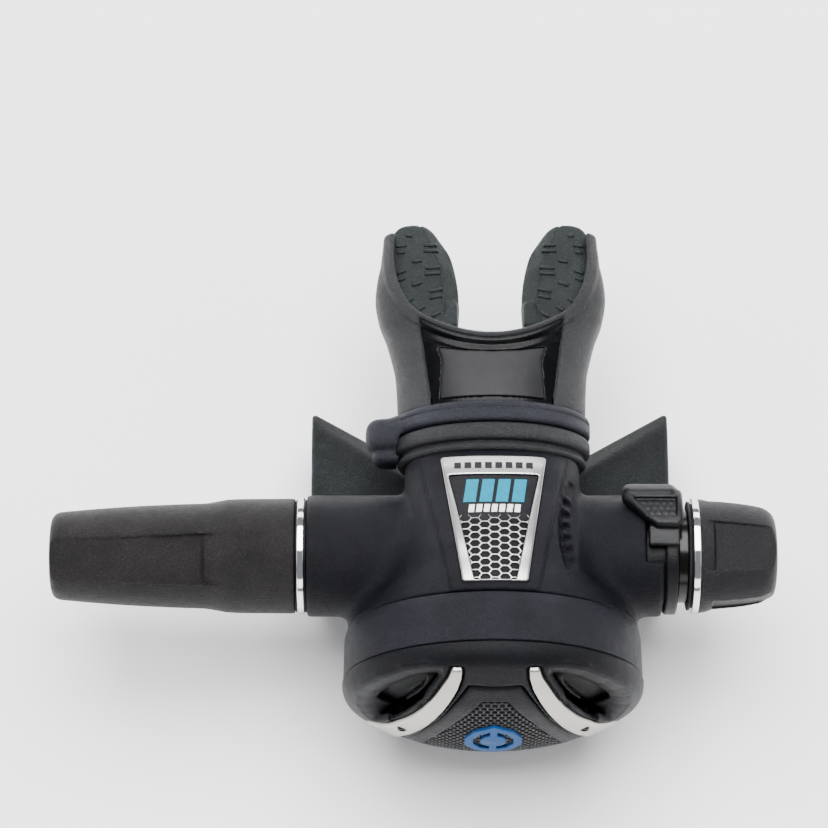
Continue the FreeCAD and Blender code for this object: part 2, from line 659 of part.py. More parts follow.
def make_plate_mesh():
    skin = oval_loft(CASE_SECTIONS, 0.85).cut(oval_loft(CASE_SECTIONS, 0.5))
    outline = [(-7.3, -4.0), (7.3, -4.0), (5.4, -13.5), (-5.4, -13.5)]
    cells = []
    for row in range(5):
        for col in range(-3, 4):
            cx = (col + 0.5 * (row % 2)) * 2.6
            cy = -5.2 - row * 2.25
            if abs(cx) < 5.6 - row * 0.45:
                hexa = [(cx + x, cy + y) for x, y in hexagon(1.1, 0, 0)]
                cells.append(prism_z(hexa, 0, 50))
    return single(prism_z(outline, 0, 50).common(skin).cut(Part.makeCompound(cells)))


# ---- assembly -----------------------------------------------------------------------------
SHAPES = {
    "case": make_case,
    "cover_ring": make_rim_ring,
    "cover": make_cover,
    "blade_left": lambda: make_blade(-1),
    "blade_right": lambda: make_blade(1),
    "blade_screws": make_blade_screws,
    "purge_button": make_purge_button,
    "purge_mesh": make_purge_mesh,
    "purge_emblem": make_purge_emblem,
    "purge_spring": make_purge_spring,
    "diaphragm": make_diaphragm,
    "diaphragm_plate": make_diaphragm_plate,
    "valve_body": make_valve_body,
    "body_o_rings": make_body_rings,
    "inlet_fitting": make_inlet_fitting,
    "orifice": make_orifice,
    "orifice_o_ring": make_orifice_ring,
    "poppet": make_poppet,
    "poppet_seat": make_poppet_seat,
    "poppet_spring": make_poppet_spring,
    "balance_chamber": make_balance_chamber,
    "balance_o_ring": make_balance_ring,
    "lever_pin": make_lever_pin,
    "demand_lever": make_demand_lever,
    "lock_nut": make_lock_nut,
    "trim_ring": make_trim_ring,
    "hose_sleeve": make_hose_sleeve,
    "air_lever": make_air_lever,
    "air_vane": make_air_vane,
    "knob_nut": make_knob_nut,
    "control_screw": make_control_screw,
    "control_o_ring": make_control_ring,
    "knob": make_knob,
    "knob_ring": make_knob_ring,
    "knob_cap": make_knob_cap,
    "knob_screw": make_knob_screw,
    "exhaust_tee": make_exhaust_tee,
    "exhaust_valve": make_exhaust_valve,
    "mouthpiece": make_mouthpiece,
    "mouthpiece_tie": make_mouthpiece_tie,
    "name_plate": make_name_plate,
    "plate_panel": make_plate_panel,
    "plate_mesh": make_plate_mesh,
}

os.makedirs("parts", exist_ok=True)
for node, make in SHAPES.items():
    shape = make()
    shape.translate(V(-INLET_X, 0, 0))
    b = shape.BoundBox
    print("%-18s solids %d valid %s vol %8.1f  x %7.1f %7.1f y %6.1f %6.1f z %6.1f %6.1f" % (
        node, len(shape.Solids), shape.isValid(), shape.Volume, b.XMin, b.XMax, b.YMin, b.YMax, b.ZMin, b.ZMax))
    shape.exportStep("parts/" + node + ".step")
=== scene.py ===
import functools
import math

import bmesh
import bpy
import numpy as np
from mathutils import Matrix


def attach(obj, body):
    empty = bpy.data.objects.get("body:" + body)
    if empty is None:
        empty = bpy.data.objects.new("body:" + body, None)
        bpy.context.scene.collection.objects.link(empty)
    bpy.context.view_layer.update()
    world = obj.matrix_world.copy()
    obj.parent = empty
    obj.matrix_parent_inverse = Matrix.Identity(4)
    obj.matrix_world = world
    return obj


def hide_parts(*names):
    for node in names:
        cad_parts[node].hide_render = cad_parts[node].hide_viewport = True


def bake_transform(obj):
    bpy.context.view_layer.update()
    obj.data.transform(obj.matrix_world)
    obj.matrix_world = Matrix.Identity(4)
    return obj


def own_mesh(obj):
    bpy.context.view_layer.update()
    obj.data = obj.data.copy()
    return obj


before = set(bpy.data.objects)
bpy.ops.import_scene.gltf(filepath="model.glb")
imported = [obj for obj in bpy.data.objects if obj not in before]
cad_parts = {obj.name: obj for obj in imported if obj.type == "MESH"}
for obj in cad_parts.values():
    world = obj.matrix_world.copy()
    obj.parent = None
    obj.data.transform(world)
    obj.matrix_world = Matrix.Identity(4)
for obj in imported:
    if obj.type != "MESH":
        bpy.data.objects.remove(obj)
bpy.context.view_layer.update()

import openvdb
from mathutils import Matrix, Vector
from numpy import clip, hypot, maximum, minimum

# Millimetre sizes below are measured from the middle of the case: X along the valve barrel, Y to
# the mouth, Z up. The frame's origin is on the inlet thread, CX to the left of the case's middle.
CX = 58.0
COVER_Z = -4.0
MOUTH_Z = 2.6
FLOOR_Z = -41.7
MM = 0.001           # in metres
WALL = 2.4           # of the case and the cover
RIM_R = 34.0
LAND = 0.42          # height of the land round the name plate
BARREL_ENDS = (-45.8, 41.7)
CAMERA_TILT, CAMERA_DISTANCE, CAMERA_LENS = 20.0, 0.9, 155.9


def place(p):
    """Case-centred millimetres to the row frame in metres."""
    return (p + np.array([CX, 0.0, 0.0])) * MM


# ---- camera first
def make_camera():
    tilt = math.radians(CAMERA_TILT)
    to_cam = Vector((0, -math.sin(tilt), math.cos(tilt)))
    up = Vector((0, math.cos(tilt), math.sin(tilt)))
    aim = Vector((CX - 19.35, 37.4, 0.0)) * MM
    cam = bpy.data.objects.new("camera", bpy.data.cameras.new("camera"))
    bpy.context.scene.collection.objects.link(cam)
    cam.data.lens = CAMERA_LENS
    cam.data.sensor_width = 36.0
    cam.data.clip_start = 0.01
    cam.data.clip_end = 50
    rot = Matrix((Vector((1, 0, 0)), up, to_cam)).transposed()
    cam.matrix_world = Matrix.Translation(aim + to_cam * CAMERA_DISTANCE) @ rot.to_4x4()
    bpy.context.scene.camera = cam


make_camera()


# ---- distance-field kit
class Grid:
    """Broadcast axes of a regular grid, in case-centred millimetres."""

    def __init__(self, lo, hi, h):
        self.lo = np.array(lo, float) - 2 * h
        self.h = h
        n = np.ceil((np.array(hi, float) + 2 * h - self.lo) / h).astype(int) + 1
        ax = [(self.lo[k] + h * np.arange(n[k])).astype(np.float32) for k in range(3)]
        self.x = ax[0][:, None, None]
        self.y = ax[1][None, :, None]
        self.z = ax[2][None, None, :]
        self.shape = tuple(n)


def smin(a, b, k):
    h = clip(0.5 + 0.5 * (b - a) / k, 0, 1)
    return b + (a - b) * h - k * h * (1 - h)


def smax(a, b, k):
    return -smin(-a, -b, k)


def slab(v, lo, hi):
    return maximum(lo - v, v - hi)


def both(*fields):
    """What all of the fields share."""
    return functools.reduce(maximum, fields)


def cut(f, *tool):
    return maximum(f, -both(*tool))


def add(f, *extra):
    return minimum(f, both(*extra))


def filled(d, width):
    """1 inside an outline and 0 outside, eased over a width."""
    return clip(0.5 - d / width, 0, 1)


def bead(d, width):
    """1 on a line, falling to 0 at a width to either side."""
    return clip(1 - np.abs(d) / width, 0, 1)


def box2(u, v, cu, cv, hu, hv, r=0.0):
    du, dv = np.abs(u - cu) - hu + r, np.abs(v - cv) - hv + r
    return hypot(maximum(du, 0), maximum(dv, 0)) + minimum(maximum(du, dv), 0) - r


def polygon(u, v, pts):
    """Signed distance to a closed outline, negative inside."""
    u, v = np.broadcast_arrays(u, v)
    best = np.full(u.shape, 1e9, np.float32)
    inside = np.zeros(u.shape, bool)
    n = len(pts)
    for k in range(n):
        (x0, y0), (x1, y1) = pts[k], pts[(k + 1) % n]
        ex, ey = x1 - x0, y1 - y0
        wx, wy = u - x0, v - y0
        t = clip((wx * ex + wy * ey) / (ex * ex + ey * ey + 1e-9), 0, 1)
        best = minimum(best, (wx - ex * t) ** 2 + (wy - ey * t) ** 2)
        crosses = (y0 > v) != (y1 > v)
        if abs(ey) > 1e-9:
            inside ^= crosses & (u < (v - y0) * ex / ey + x0)
    d = np.sqrt(best)
    return np.where(inside, -d, d)


def rounded_polygon(u, v, pts, r):
    return polygon(u, v, shrink(pts, r)) - r


def shrink(pts, by):
    """Outline moved inwards by a set distance; corners must be convex or nearly so."""
    area = sum(a[0] * b[1] - b[0] * a[1] for a, b in zip(pts, pts[1:] + pts[:1]))
    way = 1 if area > 0 else -1
    out = []
    for k in range(len(pts)):
        a, b, c = pts[k - 1], pts[k], pts[(k + 1) % len(pts)]
        n1 = Vector((-(b[1] - a[1]), b[0] - a[0])).normalized() * way
        n2 = Vector((-(c[1] - b[1]), c[0] - b[0])).normalized() * way
        m = (n1 + n2).normalized()
        s = by / max(0.5, m.dot(n1))
        out.append((b[0] + m.x * s, b[1] + m.y * s))
    return out


def ease(pts, times=2, closed=True):
    """Cut the corners of an outline again and again, towards a smooth curve."""
    for _ in range(times):
        nxt = []
        for (x0, y0), (x1, y1) in zip(pts, pts[1:] + pts[:1] if closed else pts[1:]):
            nxt += [(0.75 * x0 + 0.25 * x1, 0.75 * y0 + 0.25 * y1),
                    (0.25 * x0 + 0.75 * x1, 0.25 * y0 + 0.75 * y1)]
        pts = nxt if closed else [pts[0]] + nxt + [pts[-1]]
    return pts


def curve_through(stations, y):
    """Smooth values along y for rows of (y, value, value, ...)."""
    st = np.array(stations, float)
    h = np.diff(st[:, 0])
    out = []
    for c in range(1, st.shape[1]):
        v = st[:, c]
        d = np.diff(v) / h
        m = np.zeros(len(v))
        m[0], m[-1] = d[0], d[-1]
        for k in range(1, len(v) - 1):
            if d[k - 1] * d[k] > 0:
                w1, w2 = 2 * h[k] + h[k - 1], h[k] + 2 * h[k - 1]
                m[k] = (w1 + w2) / (w1 / d[k - 1] + w2 / d[k])
        yy = clip(y, st[0, 0], st[-1, 0])
        i = clip(np.searchsorted(st[:, 0], yy, side="right") - 1, 0, len(h) - 1)
        t = (yy - st[i, 0]) / h[i]
        a = (2 * t ** 3 - 3 * t ** 2 + 1) * v[i] + (t ** 3 - 2 * t ** 2 + t) * h[i] * m[i]
        b = (-2 * t ** 3 + 3 * t ** 2) * v[i + 1] + (t ** 3 - t ** 2) * h[i] * m[i + 1]
        out.append((a + b).astype(np.float32))
    return out


def oval_field(x, z, a, b, zc, power=2.0):
    u, w = np.abs(x) / a, np.abs(z - zc) / b
    s = (u ** power + w ** power) ** (1.0 / power)
    return (s - 1.0) * minimum(a, b)


def mesh_object(name, co, faces, mat, smooth=True):
    me = bpy.data.meshes.new(name)
    me.vertices.add(len(co))
    me.vertices.foreach_set("co", np.asarray(co, np.float32).ravel())
    if isinstance(faces, list):
        sizes, flat = np.array([len(f) for f in faces]), np.concatenate([np.asarray(f) for f in faces])
    else:
        sizes, flat = np.full(len(faces), faces.shape[1]), faces.ravel()
    me.loops.add(len(flat))
    me.loops.foreach_set("vertex_index", flat.astype(np.int32))
    me.polygons.add(len(sizes))
    me.polygons.foreach_set("loop_start", np.concatenate([[0], np.cumsum(sizes)[:-1]]).astype(np.int32))
    me.polygons.foreach_set("loop_total", sizes.astype(np.int32))
    me.polygons.foreach_set("use_smooth", np.full(len(sizes), smooth))
    me.update(calc_edges=True)
    me.validate()
    me.materials.append(mat)
    ob = bpy.data.objects.new(name, me)
    bpy.context.scene.collection.objects.link(ob)
    return ob


def skin(name, g, field, mat, ease=0):
    """Surface of a distance field, as a quad mesh in the row frame."""
    f = clip(np.broadcast_to(field, g.shape), -3 * g.h, 3 * g.h).astype(np.float32)
    vol = openvdb.FloatGrid(3 * g.h)
    vol.copyFromArray(np.ascontiguousarray(f))
    pts, quads = vol.convertToQuads(isovalue=0.0)
    pts = np.array(pts, float)
    quads = np.array(quads, np.int64)
    if ease:
        pts = relax(pts, quads, ease)
    co = pts * g.h + g.lo
    a, b, c, d = (co[quads[:, k]] for k in range(4))
    turn = np.einsum("ij,ij->i", a, np.cross(b, c)) + np.einsum("ij,ij->i", a, np.cross(c, d))
    if turn.sum() < 0:
        quads = quads[:, ::-1]
    return mesh_object(name, place(co), quads, mat)


def relax(pts, quads, times):
    e = np.concatenate([quads[:, [0, 1]], quads[:, [1, 2]], quads[:, [2, 3]], quads[:, [3, 0]]])
    n = np.bincount(e.ravel(), minlength=len(pts)).astype(float)[:, None]
    for k in range(2 * times):
        s = np.zeros_like(pts)
        for c in range(3):
            s[:, c] = (np.bincount(e[:, 0], pts[e[:, 1], c], len(pts))
                       + np.bincount(e[:, 1], pts[e[:, 0], c], len(pts)))
        pts = pts + (0.5 if k % 2 == 0 else -0.52) * (s / n - pts)
    return pts


def lathe(name, profile, mat, centre=(0, 0, 0), axis="x", steps=192):
    """Closed (along, radius) outline turned about an axis parallel to X or Y."""
    prof = np.array(profile, float)
    m = len(prof)
    ang = np.linspace(0, 2 * math.pi, steps, endpoint=False)
    ca, sa = np.cos(ang)[:, None], np.sin(ang)[:, None]
    along, rad = np.tile(prof[:, 0], (steps, 1)), np.tile(prof[:, 1], (steps, 1))
    co = [along, rad * ca, rad * sa] if axis == "x" else [rad * ca, along, rad * sa]
    co = np.stack(co, -1).reshape(-1, 3) + np.array(centre, float)
    i = np.arange(steps)[:, None] * m
    j = ((np.arange(steps) + 1) % steps)[:, None] * m
    k = np.arange(m)[None, :]
    k2 = (k + 1) % m
    quads = np.stack([i + k, j + k, j + k2, i + k2], -1).reshape(-1, 4)
    ob = mesh_object(name, place(co), quads, mat)
    fix_normals(ob)
    return ob


def fix_normals(ob):
    bm = bmesh.new()
    bm.from_mesh(ob.data)
    bmesh.ops.recalc_face_normals(bm, faces=bm.faces)
    bm.to_mesh(ob.data)
    bm.free()


def soften(profile, r, steps=4):
    """Round the corners of a closed outline."""
    out = []
    n = len(profile)
    for k in range(n):
        a, b, c = (Vector(profile[(k + s) % n]) for s in (-1, 0, 1))
        la, lc = (a - b).length, (c - b).length
        q = min(r, la * 0.45, lc * 0.45)
        p0, p1 = b + (a - b).normalized() * q, b + (c - b).normalized() * q
        for s in range(steps + 1):
            t = s / steps
            out.append(tuple(p0 * (1 - t) ** 2 + b * 2 * t * (1 - t) + p1 * t * t))
    return out


# ---- materials
def new_material(name):
    m = bpy.data.materials.new(name)
    m.use_nodes = True
    nt = m.node_tree
    return m, nt, nt.nodes["Principled BSDF"]


def setup(n, **values):
    """Set inputs of a shader node; in their names _ stands for a space."""
    for key, value in values.items():
        n.inputs[key.replace("_", " ")].default_value = value
    return n


def add_node(nt, kind, **values):
    return setup(nt.nodes.new("ShaderNode" + kind), **values)


def link(nt, out, n, key):
    nt.links.new(out, n.inputs[key])


def noise(nt, scale, detail=2.0, rough=0.5):
    n = add_node(nt, "TexNoise", Scale=scale, Detail=detail, Roughness=rough)
    link(nt, add_node(nt, "TexCoord").outputs["Object"], n, "Vector")
    return n.outputs["Fac"]


def ramp(nt, fac, stops):
    r = add_node(nt, "ValToRGB")
    el = r.color_ramp.elements
    while len(el) < len(stops):
        el.new(0.5)
    for e, (pos, col) in zip(el, stops):
        e.position = pos
        e.color = (*col, 1) if len(col) == 3 else col
    link(nt, fac, r, "Fac")
    return r.outputs["Color"]


def mix_value(nt, fac, lo, hi):
    m = add_node(nt, "MapRange", To_Min=lo, To_Max=hi, From_Min=0.25, From_Max=0.75)
    link(nt, fac, m, "Value")
    return m.outputs["Result"]


def add_bump(nt, bsdf, layers):
    """Layers of (height output, strength, distance in metres), chained."""
    last = None
    for height, strength, distance in layers:
        b = add_node(nt, "Bump", Strength=strength, Distance=distance)
        link(nt, height, b, "Height")
        if last is not None:
            link(nt, last, b, "Normal")
        last = b.outputs["Normal"]
    link(nt, last, bsdf, "Normal")


def edge_mask(nt, low, high):
    """Pale wear where the surface is convex."""
    m = add_node(nt, "MapRange", From_Min=low, From_Max=high)
    link(nt, add_node(nt, "NewGeometry").outputs["Pointiness"], m, "Value")
    return m.outputs["Result"]


def moulded(name, base, rough, grain=2600.0, grain_depth=0.35, specular=0.5, tint=None, wear=0.5):
    """Black moulded plastic or rubber: fine leathery grain, uneven gloss, paler worn edges."""
    m, nt, b = new_material(name)
    big = noise(nt, 90.0, 3.0)
    mid = noise(nt, 420.0, 3.0, 0.6)
    fine = noise(nt, grain, 3.0, 0.65)
    low = tuple(c * 0.82 for c in base)
    high = tuple(c * 1.2 for c in (tint or base))
    col = ramp(nt, big, [(0.3, low), (0.7, high)])
    k = min(0.6, grain_depth)
    speck = ramp(nt, fine, [(0.36, (1 - 0.8 * k,) * 3), (0.52, (1.0, 1.0, 1.0)), (0.66, (1 + 2.0 * k,) * 3)])
    mul = add_node(nt, "Mix")
    mul.data_type = "RGBA"
    mul.blend_type = "MULTIPLY"
    mul.inputs["Factor"].default_value = 1.0
    link(nt, col, mul, "A")
    link(nt, speck, mul, "B")
    edge = add_node(nt, "Mix")
    edge.data_type = "RGBA"
    link(nt, edge_mask(nt, 0.53, 0.60), edge, "Factor")
    link(nt, mul.outputs["Result"], edge, "A")
    edge.inputs["B"].default_value = (*[min(1, c * (1 + 1.6 * wear)) for c in base], 1)
    link(nt, edge.outputs["Result"], b, "Base Color")
    link(nt, mix_value(nt, mid, rough - 0.05, rough + 0.07), b, "Roughness")
    setup(b, Specular_IOR_Level=specular)
    add_bump(nt, b, [(mid, 0.10, 0.0002), (fine, grain_depth, 0.00045)])
    return m


def metal(name, base, rough, grain=1500.0, depth=0.05, dirt=0.06):
    m, nt, b = new_material(name)
    fine = noise(nt, grain, 4.0, 0.6)
    smear = noise(nt, 160.0, 3.0)
    col = ramp(nt, smear, [(0.3, tuple(c * (1 - dirt) for c in base)), (0.7, base)])
    link(nt, col, b, "Base Color")
    setup(b, Metallic=1.0)
    link(nt, mix_value(nt, fine, rough * 0.8, rough * 1.3), b, "Roughness")
    add_bump(nt, b, [(fine, depth, 0.00006)])
    return m


def enamel(name, base, rough=0.35, coat=0.3):
    m, nt, b = new_material(name)
    v = noise(nt, 800.0, 3.0)
    col = ramp(nt, v, [(0.3, tuple(c * 0.9 for c in base)), (0.7, tuple(min(1, c * 1.08) for c in base))])
    link(nt, col, b, "Base Color")
    link(nt, mix_value(nt, noise(nt, 300.0), rough - 0.05, rough + 0.08), b, "Roughness")
    setup(b, Coat_Weight=coat, Specular_IOR_Level=0.08)
    add_bump(nt, b, [(noise(nt, 2200.0), 0.06, 0.00005)])
    return m


CASE = moulded("case_plastic", (0.0024, 0.0025, 0.0042), 0.38, 2900, 0.7, 0.095, (0.0030, 0.0030, 0.0052))
RING = moulded("ring_plastic", (0.0045, 0.0046, 0.0072), 0.40, 3000, 0.7, 0.118, (0.0056, 0.0056, 0.0087))
COVER = moulded("cover_plastic", (0.0023, 0.0024, 0.0036), 0.38, 2800, 0.5, 0.095)
SLEEVE = moulded("sleeve_rubber", (0.0082, 0.0073, 0.0078), 0.44, 3000, 1.0, 0.138, (0.0110, 0.0097, 0.0095))
KNOB = moulded("knob_plastic", (0.0070, 0.0070, 0.0083), 0.40, 3000, 0.75, 0.140)
LEVER = moulded("lever_plastic", (0.0032, 0.0034, 0.0043), 0.32, 2500, 0.30, 0.165)
TEE = moulded("tee_rubber", (0.0091, 0.0099, 0.0106), 0.46, 3000, 1.0, 0.135, (0.0104, 0.0127, 0.0133))
MOUTH = moulded("mouth_silicone", (0.0106, 0.0112, 0.0126), 0.44, 3000, 1.0, 0.239, (0.0128, 0.0134, 0.0152),
                wear=0.6)
TABS = moulded("bite_silicone", (0.0078, 0.0099, 0.0101), 0.46, 3000, 0.8, 0.208, (0.0096, 0.0125, 0.0130))
TIE = moulded("tie_nylon", (0.0088, 0.0095, 0.0140), 0.42, 3000, 0.9, 0.209, (0.0103, 0.0110, 0.0167))
BLACK = moulded("deep_black", (0.0015, 0.0015, 0.002), 0.5, 3000, 0.1, 0.10)
CHROME = metal("chrome", (0.80, 0.80, 0.81), 0.07, depth=0.02)
SHAFT = moulded("shaft_black", (0.0024, 0.0022, 0.0019), 0.18, 1500, 0.05, 0.224)
SATIN = metal("satin_silver", (0.44, 0.42, 0.385), 0.34, grain=5200.0, depth=0.12)
SATIN_FINE = metal("satin_plate", (0.50, 0.485, 0.48), 0.28, grain=5200.0, depth=0.10)
STEEL = metal("steel", (0.50, 0.50, 0.49), 0.28)
BRASS = metal("brass", (0.70, 0.52, 0.25), 0.24)
SEAL = moulded("seal_rubber", (0.008, 0.008, 0.008), 0.35, 1800, 0.1, 0.3)
CLEAR = moulded("grey_silicone", (0.035, 0.036, 0.039), 0.38, 1200, 0.08, 0.4)
WHITE = moulded("white_plastic", (0.55, 0.55, 0.52), 0.45, 1800, 0.08)
BLUE = enamel("emblem_enamel", (0.006, 0.060, 0.20), 0.45, 0.0)
CYAN = enamel("print_cyan", (0.0, 0.165, 0.255), 0.5, 0.0)
PRINT_WHITE = enamel("print_white", (0.78, 0.78, 0.79), 0.5, 0.0)
PANEL = moulded("panel_print", (0.0038, 0.0041, 0.0052), 0.36, 1700, 0.3, 0.120, (0.0066, 0.0066, 0.0080))
HEADER = moulded("header_ink", (0.008, 0.008, 0.010), 0.4, 1500, 0.05, 0.2)
GLOSS = moulded("gloss_silicone", (0.0013, 0.0014, 0.0018), 0.24, 1500, 0.05, 0.096)
GLOSS_GREY = moulded("gloss_window", (0.0124, 0.0124, 0.0140), 0.34, 1500, 0.02, 0.096, wear=0.0)
MESH_DARK = moulded("mesh_dark", (0.012, 0.0122, 0.0138), 0.40, 2600, 0.15, 0.25)


def show(ob, body, node=None):
    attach(ob, body)
    if node:
        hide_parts(*([node] if isinstance(node, str) else node))
    return ob


# ---- case
CASE_ST = [(-18.6, 35.6, 35.6, COVER_Z, 2.0), (-14.5, 33.0, 34.8, -3.9, 2.05),
           (-10.0, 28.6, 33.6, -3.8, 2.15), (-5.0, 25.2, 32.0, -3.5, 2.4), (2.0, 23.0, 29.2, -3.0, 2.6),
           (9.0, 22.0, 25.6, -2.0, 2.8), (16.0, 21.7, 19.8, 1.3, 2.9), (21.4, 21.6, 16.2, MOUTH_Z, 2.5),
           (30.0, 21.4, 15.4, MOUTH_Z, 2.0)]
LENS = [(18.6, 14.0), (16.9, 9.0), (15.6, 2.0), (15.9, -5.0), (17.5, -11.0), (20.0, -10.6), (20.2, 13.6)]
# (y, z) of the exhaust port: the way it faces, and the middle of its face
EXHAUST_WAY = (math.sin(math.radians(50)), -math.cos(math.radians(50)))
EXHAUST_AT = (10.5, -25.8)


def body_field(g, grow=0.0):
    a, b, zc, p = curve_through(CASE_ST, g.y)
    return oval_field(g.x, g.z, a + grow, b + grow, zc, p)


def exhaust_axes(g):
    """Height over the exhaust port's face, and the offset across it."""
    (ny, nz), (cy, cz) = EXHAUST_WAY, EXHAUST_AT
    return g.y * ny + g.z * nz - (cy * ny + cz * nz), -g.y * nz + g.z * ny - (-cy * nz + cz * ny)


def mouth_oval(g, a, b):
    return oval_field(g.x, g.z, a, b, MOUTH_Z)


def top_z(x, y, grow):
    """Height of the case's upper skin over a plan point."""
    a, b, zc, p = curve_through(CASE_ST, np.asarray(y, float))
    s = clip(1 - (np.abs(x) / (a + grow)) ** p, 0, 1)
    return zc + (b + grow) * s ** (1 / p)


def radial(g):
    """Radius and angle round the barrel; the angle is 0 upwards and positive towards the mouth."""
    return hypot(g.y, g.z), np.degrees(np.arctan2(g.y, g.z))


def make_case():
    g = Grid((-46, -25, -40.5), (42, 36.5, 32.5), 0.56)
    body = maximum(body_field(g), slab(g.y, -18.7, 30.0))
    # raised land round the name plate, its edges are the two fine lines down the case
    half = np.interp(g.y, [-18.6, -16.0, 19.0, 20.4], [10.3, 10.8, 17.2, 17.4]).astype(np.float32)
    land = smax(np.abs(g.x) - half, slab(g.y, -18.2, 20.4), 0.6)
    land = cut(land, g.z)
    body = body - LAND * filled(land, 0.6) + 0.25 * bead(land - 0.55, 0.6)
    r = hypot(g.y, g.z)
    barrel = smax(r - 15.0, slab(g.x, *BARREL_ENDS), 0.9)
    f = smin(body, barrel, 2.2 + 4.0 * clip((7.0 - g.y) / 9.0, 0, 1))
    # keep the barrels true where they leave the body
    f = maximum(f, slab(g.x, *BARREL_ENDS))
    n, t = exhaust_axes(g)
    re = hypot(g.x, t)
    f = add(f, re - 12.0, slab(n, -7.0, 0.0))
    rc = hypot(g.x, g.z - COVER_Z)
    f = add(f, rc - RIM_R, slab(g.y, -24.8, -18.4))
    # mouth neck under the mouthpiece
    f = add(maximum(f, g.y - 21.4), mouth_oval(g, 20.6, 13.9), slab(g.y, 18, 36))
    # oval side recess with small raised bars
    side = filled(rounded_polygon(g.x, g.y, LENS, 0.4), 0.6) * (g.z > 0) * (g.x > 0)
    for k in range(6):
        yc = -7.0 + 3.3 * k
        xc = 17.5 + 0.010 * (yc - 2.0) ** 2
        mark = box2(g.x + 0.3 * (g.y - yc), g.y, xc, yc, 0.95, 0.8, 0.3)
        side = side - 0.75 * filled(mark, 0.5) * (g.z > 0) * (g.x > 0)
    f = f + 1.2 * side * clip((21.2 - g.x) / 4.0, 0, 1)
    # hollow inside
    hollow = maximum(body_field(g, -WALL), slab(g.y, -18.6, 21.0))
    hollow = add(hollow, rc - 31.6, slab(g.y, -26, -17))
    hollow = add(hollow, mouth_oval(g, 18.2, 11.5), slab(g.y, 15, 38))
    hollow = add(hollow, r - 12.6, slab(g.x, -43.0, 44))
    hollow = add(hollow, r - 9.05, slab(g.x, -48, -42))
    f = cut(f, hollow)
    # exhaust port
    f = cut(f, re - 9.6, slab(n, -12, -3))
    spokes = 1e3
    for k in range(3):
        w = math.radians(90 + 120 * k)
        along = g.x * math.cos(w) + t * math.sin(w)
        across = np.abs(-g.x * math.sin(w) + t * math.cos(w)) - 0.9
        spokes = add(spokes, across, -along)
    holes = maximum(maximum(re - 9.6, -minimum(re - 3.0, spokes)), slab(n, -4, 1))
    f = cut(f, holes)
    f = cut(f, re - 1.55, slab(n, -6, 2))
    # slot for the lever
    ang = np.degrees(np.arctan2(g.y, g.z))
    slot = smax(slab(ang, -24.0, 76.0) * 0.26, 37.3 - g.x, 0.6)
    slot = maximum(slot, 12.1 - r)
    f = cut(f, slot)
    show(skin("case_shell", g, f, CASE), "housing", "case")


def make_exhaust_tee():
    g = Grid((-46, -14.5, -42), (46, 45.5, -14), 0.5)
    mid = [(-14.0, FLOOR_Z), (18.0, FLOOR_Z), (29.4, -31.0), (29.4, -21.5), (23.0, -14.5), (-14.0, -14.5)]
    end = [(0.0, -35.0), (31.0, -35.0), (44.5, -30.0), (44.5, -18.0), (40.5, -16.0), (0.0, -16.0)]
    t = clip((np.abs(g.x) - 17.0) / 28.5, 0, 1)
    # the section runs straight from the middle to the outlets, as half-planes between like corners
    outer, inner = -1e3, -1e3
    for k in range(6):
        (y0, z0), (y1, z1) = mid[k], mid[(k + 1) % 6]
        (u0, w0), (u1, w1) = end[k], end[(k + 1) % 6]
        ya, za = y0 + (u0 - y0) * t, z0 + (w0 - z0) * t
        yb, zb = y1 + (u1 - y1) * t, z1 + (w1 - z1) * t
        ey, ez = yb - ya, zb - za
        ln = np.sqrt(ey * ey + ez * ez)
        d = ((g.y - ya) * ez - (g.z - za) * ey) / ln
        outer = d if k == 0 else smax(outer, d, 1.0)
        inner = d + 1.8 if k == 0 else maximum(inner, d + 1.8)
    f = smax(outer, np.abs(g.x) - 45.5, 1.5)
    f = cut(f, inner, np.abs(g.x) - 48)
    f = cut(f, body_field(g, 0.05), slab(g.y, -19, 22))
    f = cut(f, mouth_oval(g, 24.6, 16.4), slab(g.y, 20, 45))
    r = hypot(g.y, g.z)
    f = maximum(f, 15.15 - r)
    n, q = exhaust_axes(g)
    f = cut(f, hypot(g.x, q) - 12.1, slab(n, -9, 2.6))
    show(skin("exhaust_tee_shell", g, f, TEE, 1), "housing", "exhaust_tee")


# ---- mouthpiece
MOUTH_ST = [(34.0, 24.2, 15.4, 2.6, 2.0), (40.0, 24.4, 15.2, 2.3, 2.05), (46.0, 24.8, 14.8, 1.9, 2.15),
            (51.0, 25.8, 14.5, 1.4, 2.3), (56.0, 27.1, 14.1, 1.0, 2.45), (61.5, 29.0, 13.6, 0.7, 2.6),
            (67.5, 29.9, 12.8, 0.4, 2.8), (72.0, 29.5, 11.8, 0.3, 3.0), (76.0, 28.7, 10.8, 0.2, 3.2),
            (80.0, 27.9, 9.8, 0.1, 3.4), (84.6, 27.4, 8.8, 0.0, 3.4)]
U_IN = [(-24.0, 83.4), (-24.4, 77.4), (-23.8, 71.9), (-22.5, 67.0), (-19.6, 61.5), (-13.8, 57.6),
        (-7.0, 54.7), (0, 53.7)]
TAB = [(25.2, 68.0), (25.2, 83.4), (24.6, 86.4), (22.0, 88.4), (16.6, 88.4), (14.2, 86.8), (12.2, 83.8),
       (10.2, 80.8), (9.1, 77.0), (8.3, 72.8), (7.9, 68.4), (8.1, 63.1), (9.1, 60.3), (12.0, 58.4),
       (17.0, 58.8), (22.5, 62.5)]
MOUTH_PLATE = [(-18.5, 61.5), (-15.0, 34.75), (15.0, 34.75), (18.5, 61.5)]
MOUTH_WINDOW = [(-13.3, 50.2), (-12.2, 46.6), (-12.8, 36.2), (12.8, 36.2), (12.2, 46.6), (13.3, 50.2),
                (7.0, 49.0), (0.0, 48.6), (-7.0, 49.0)]


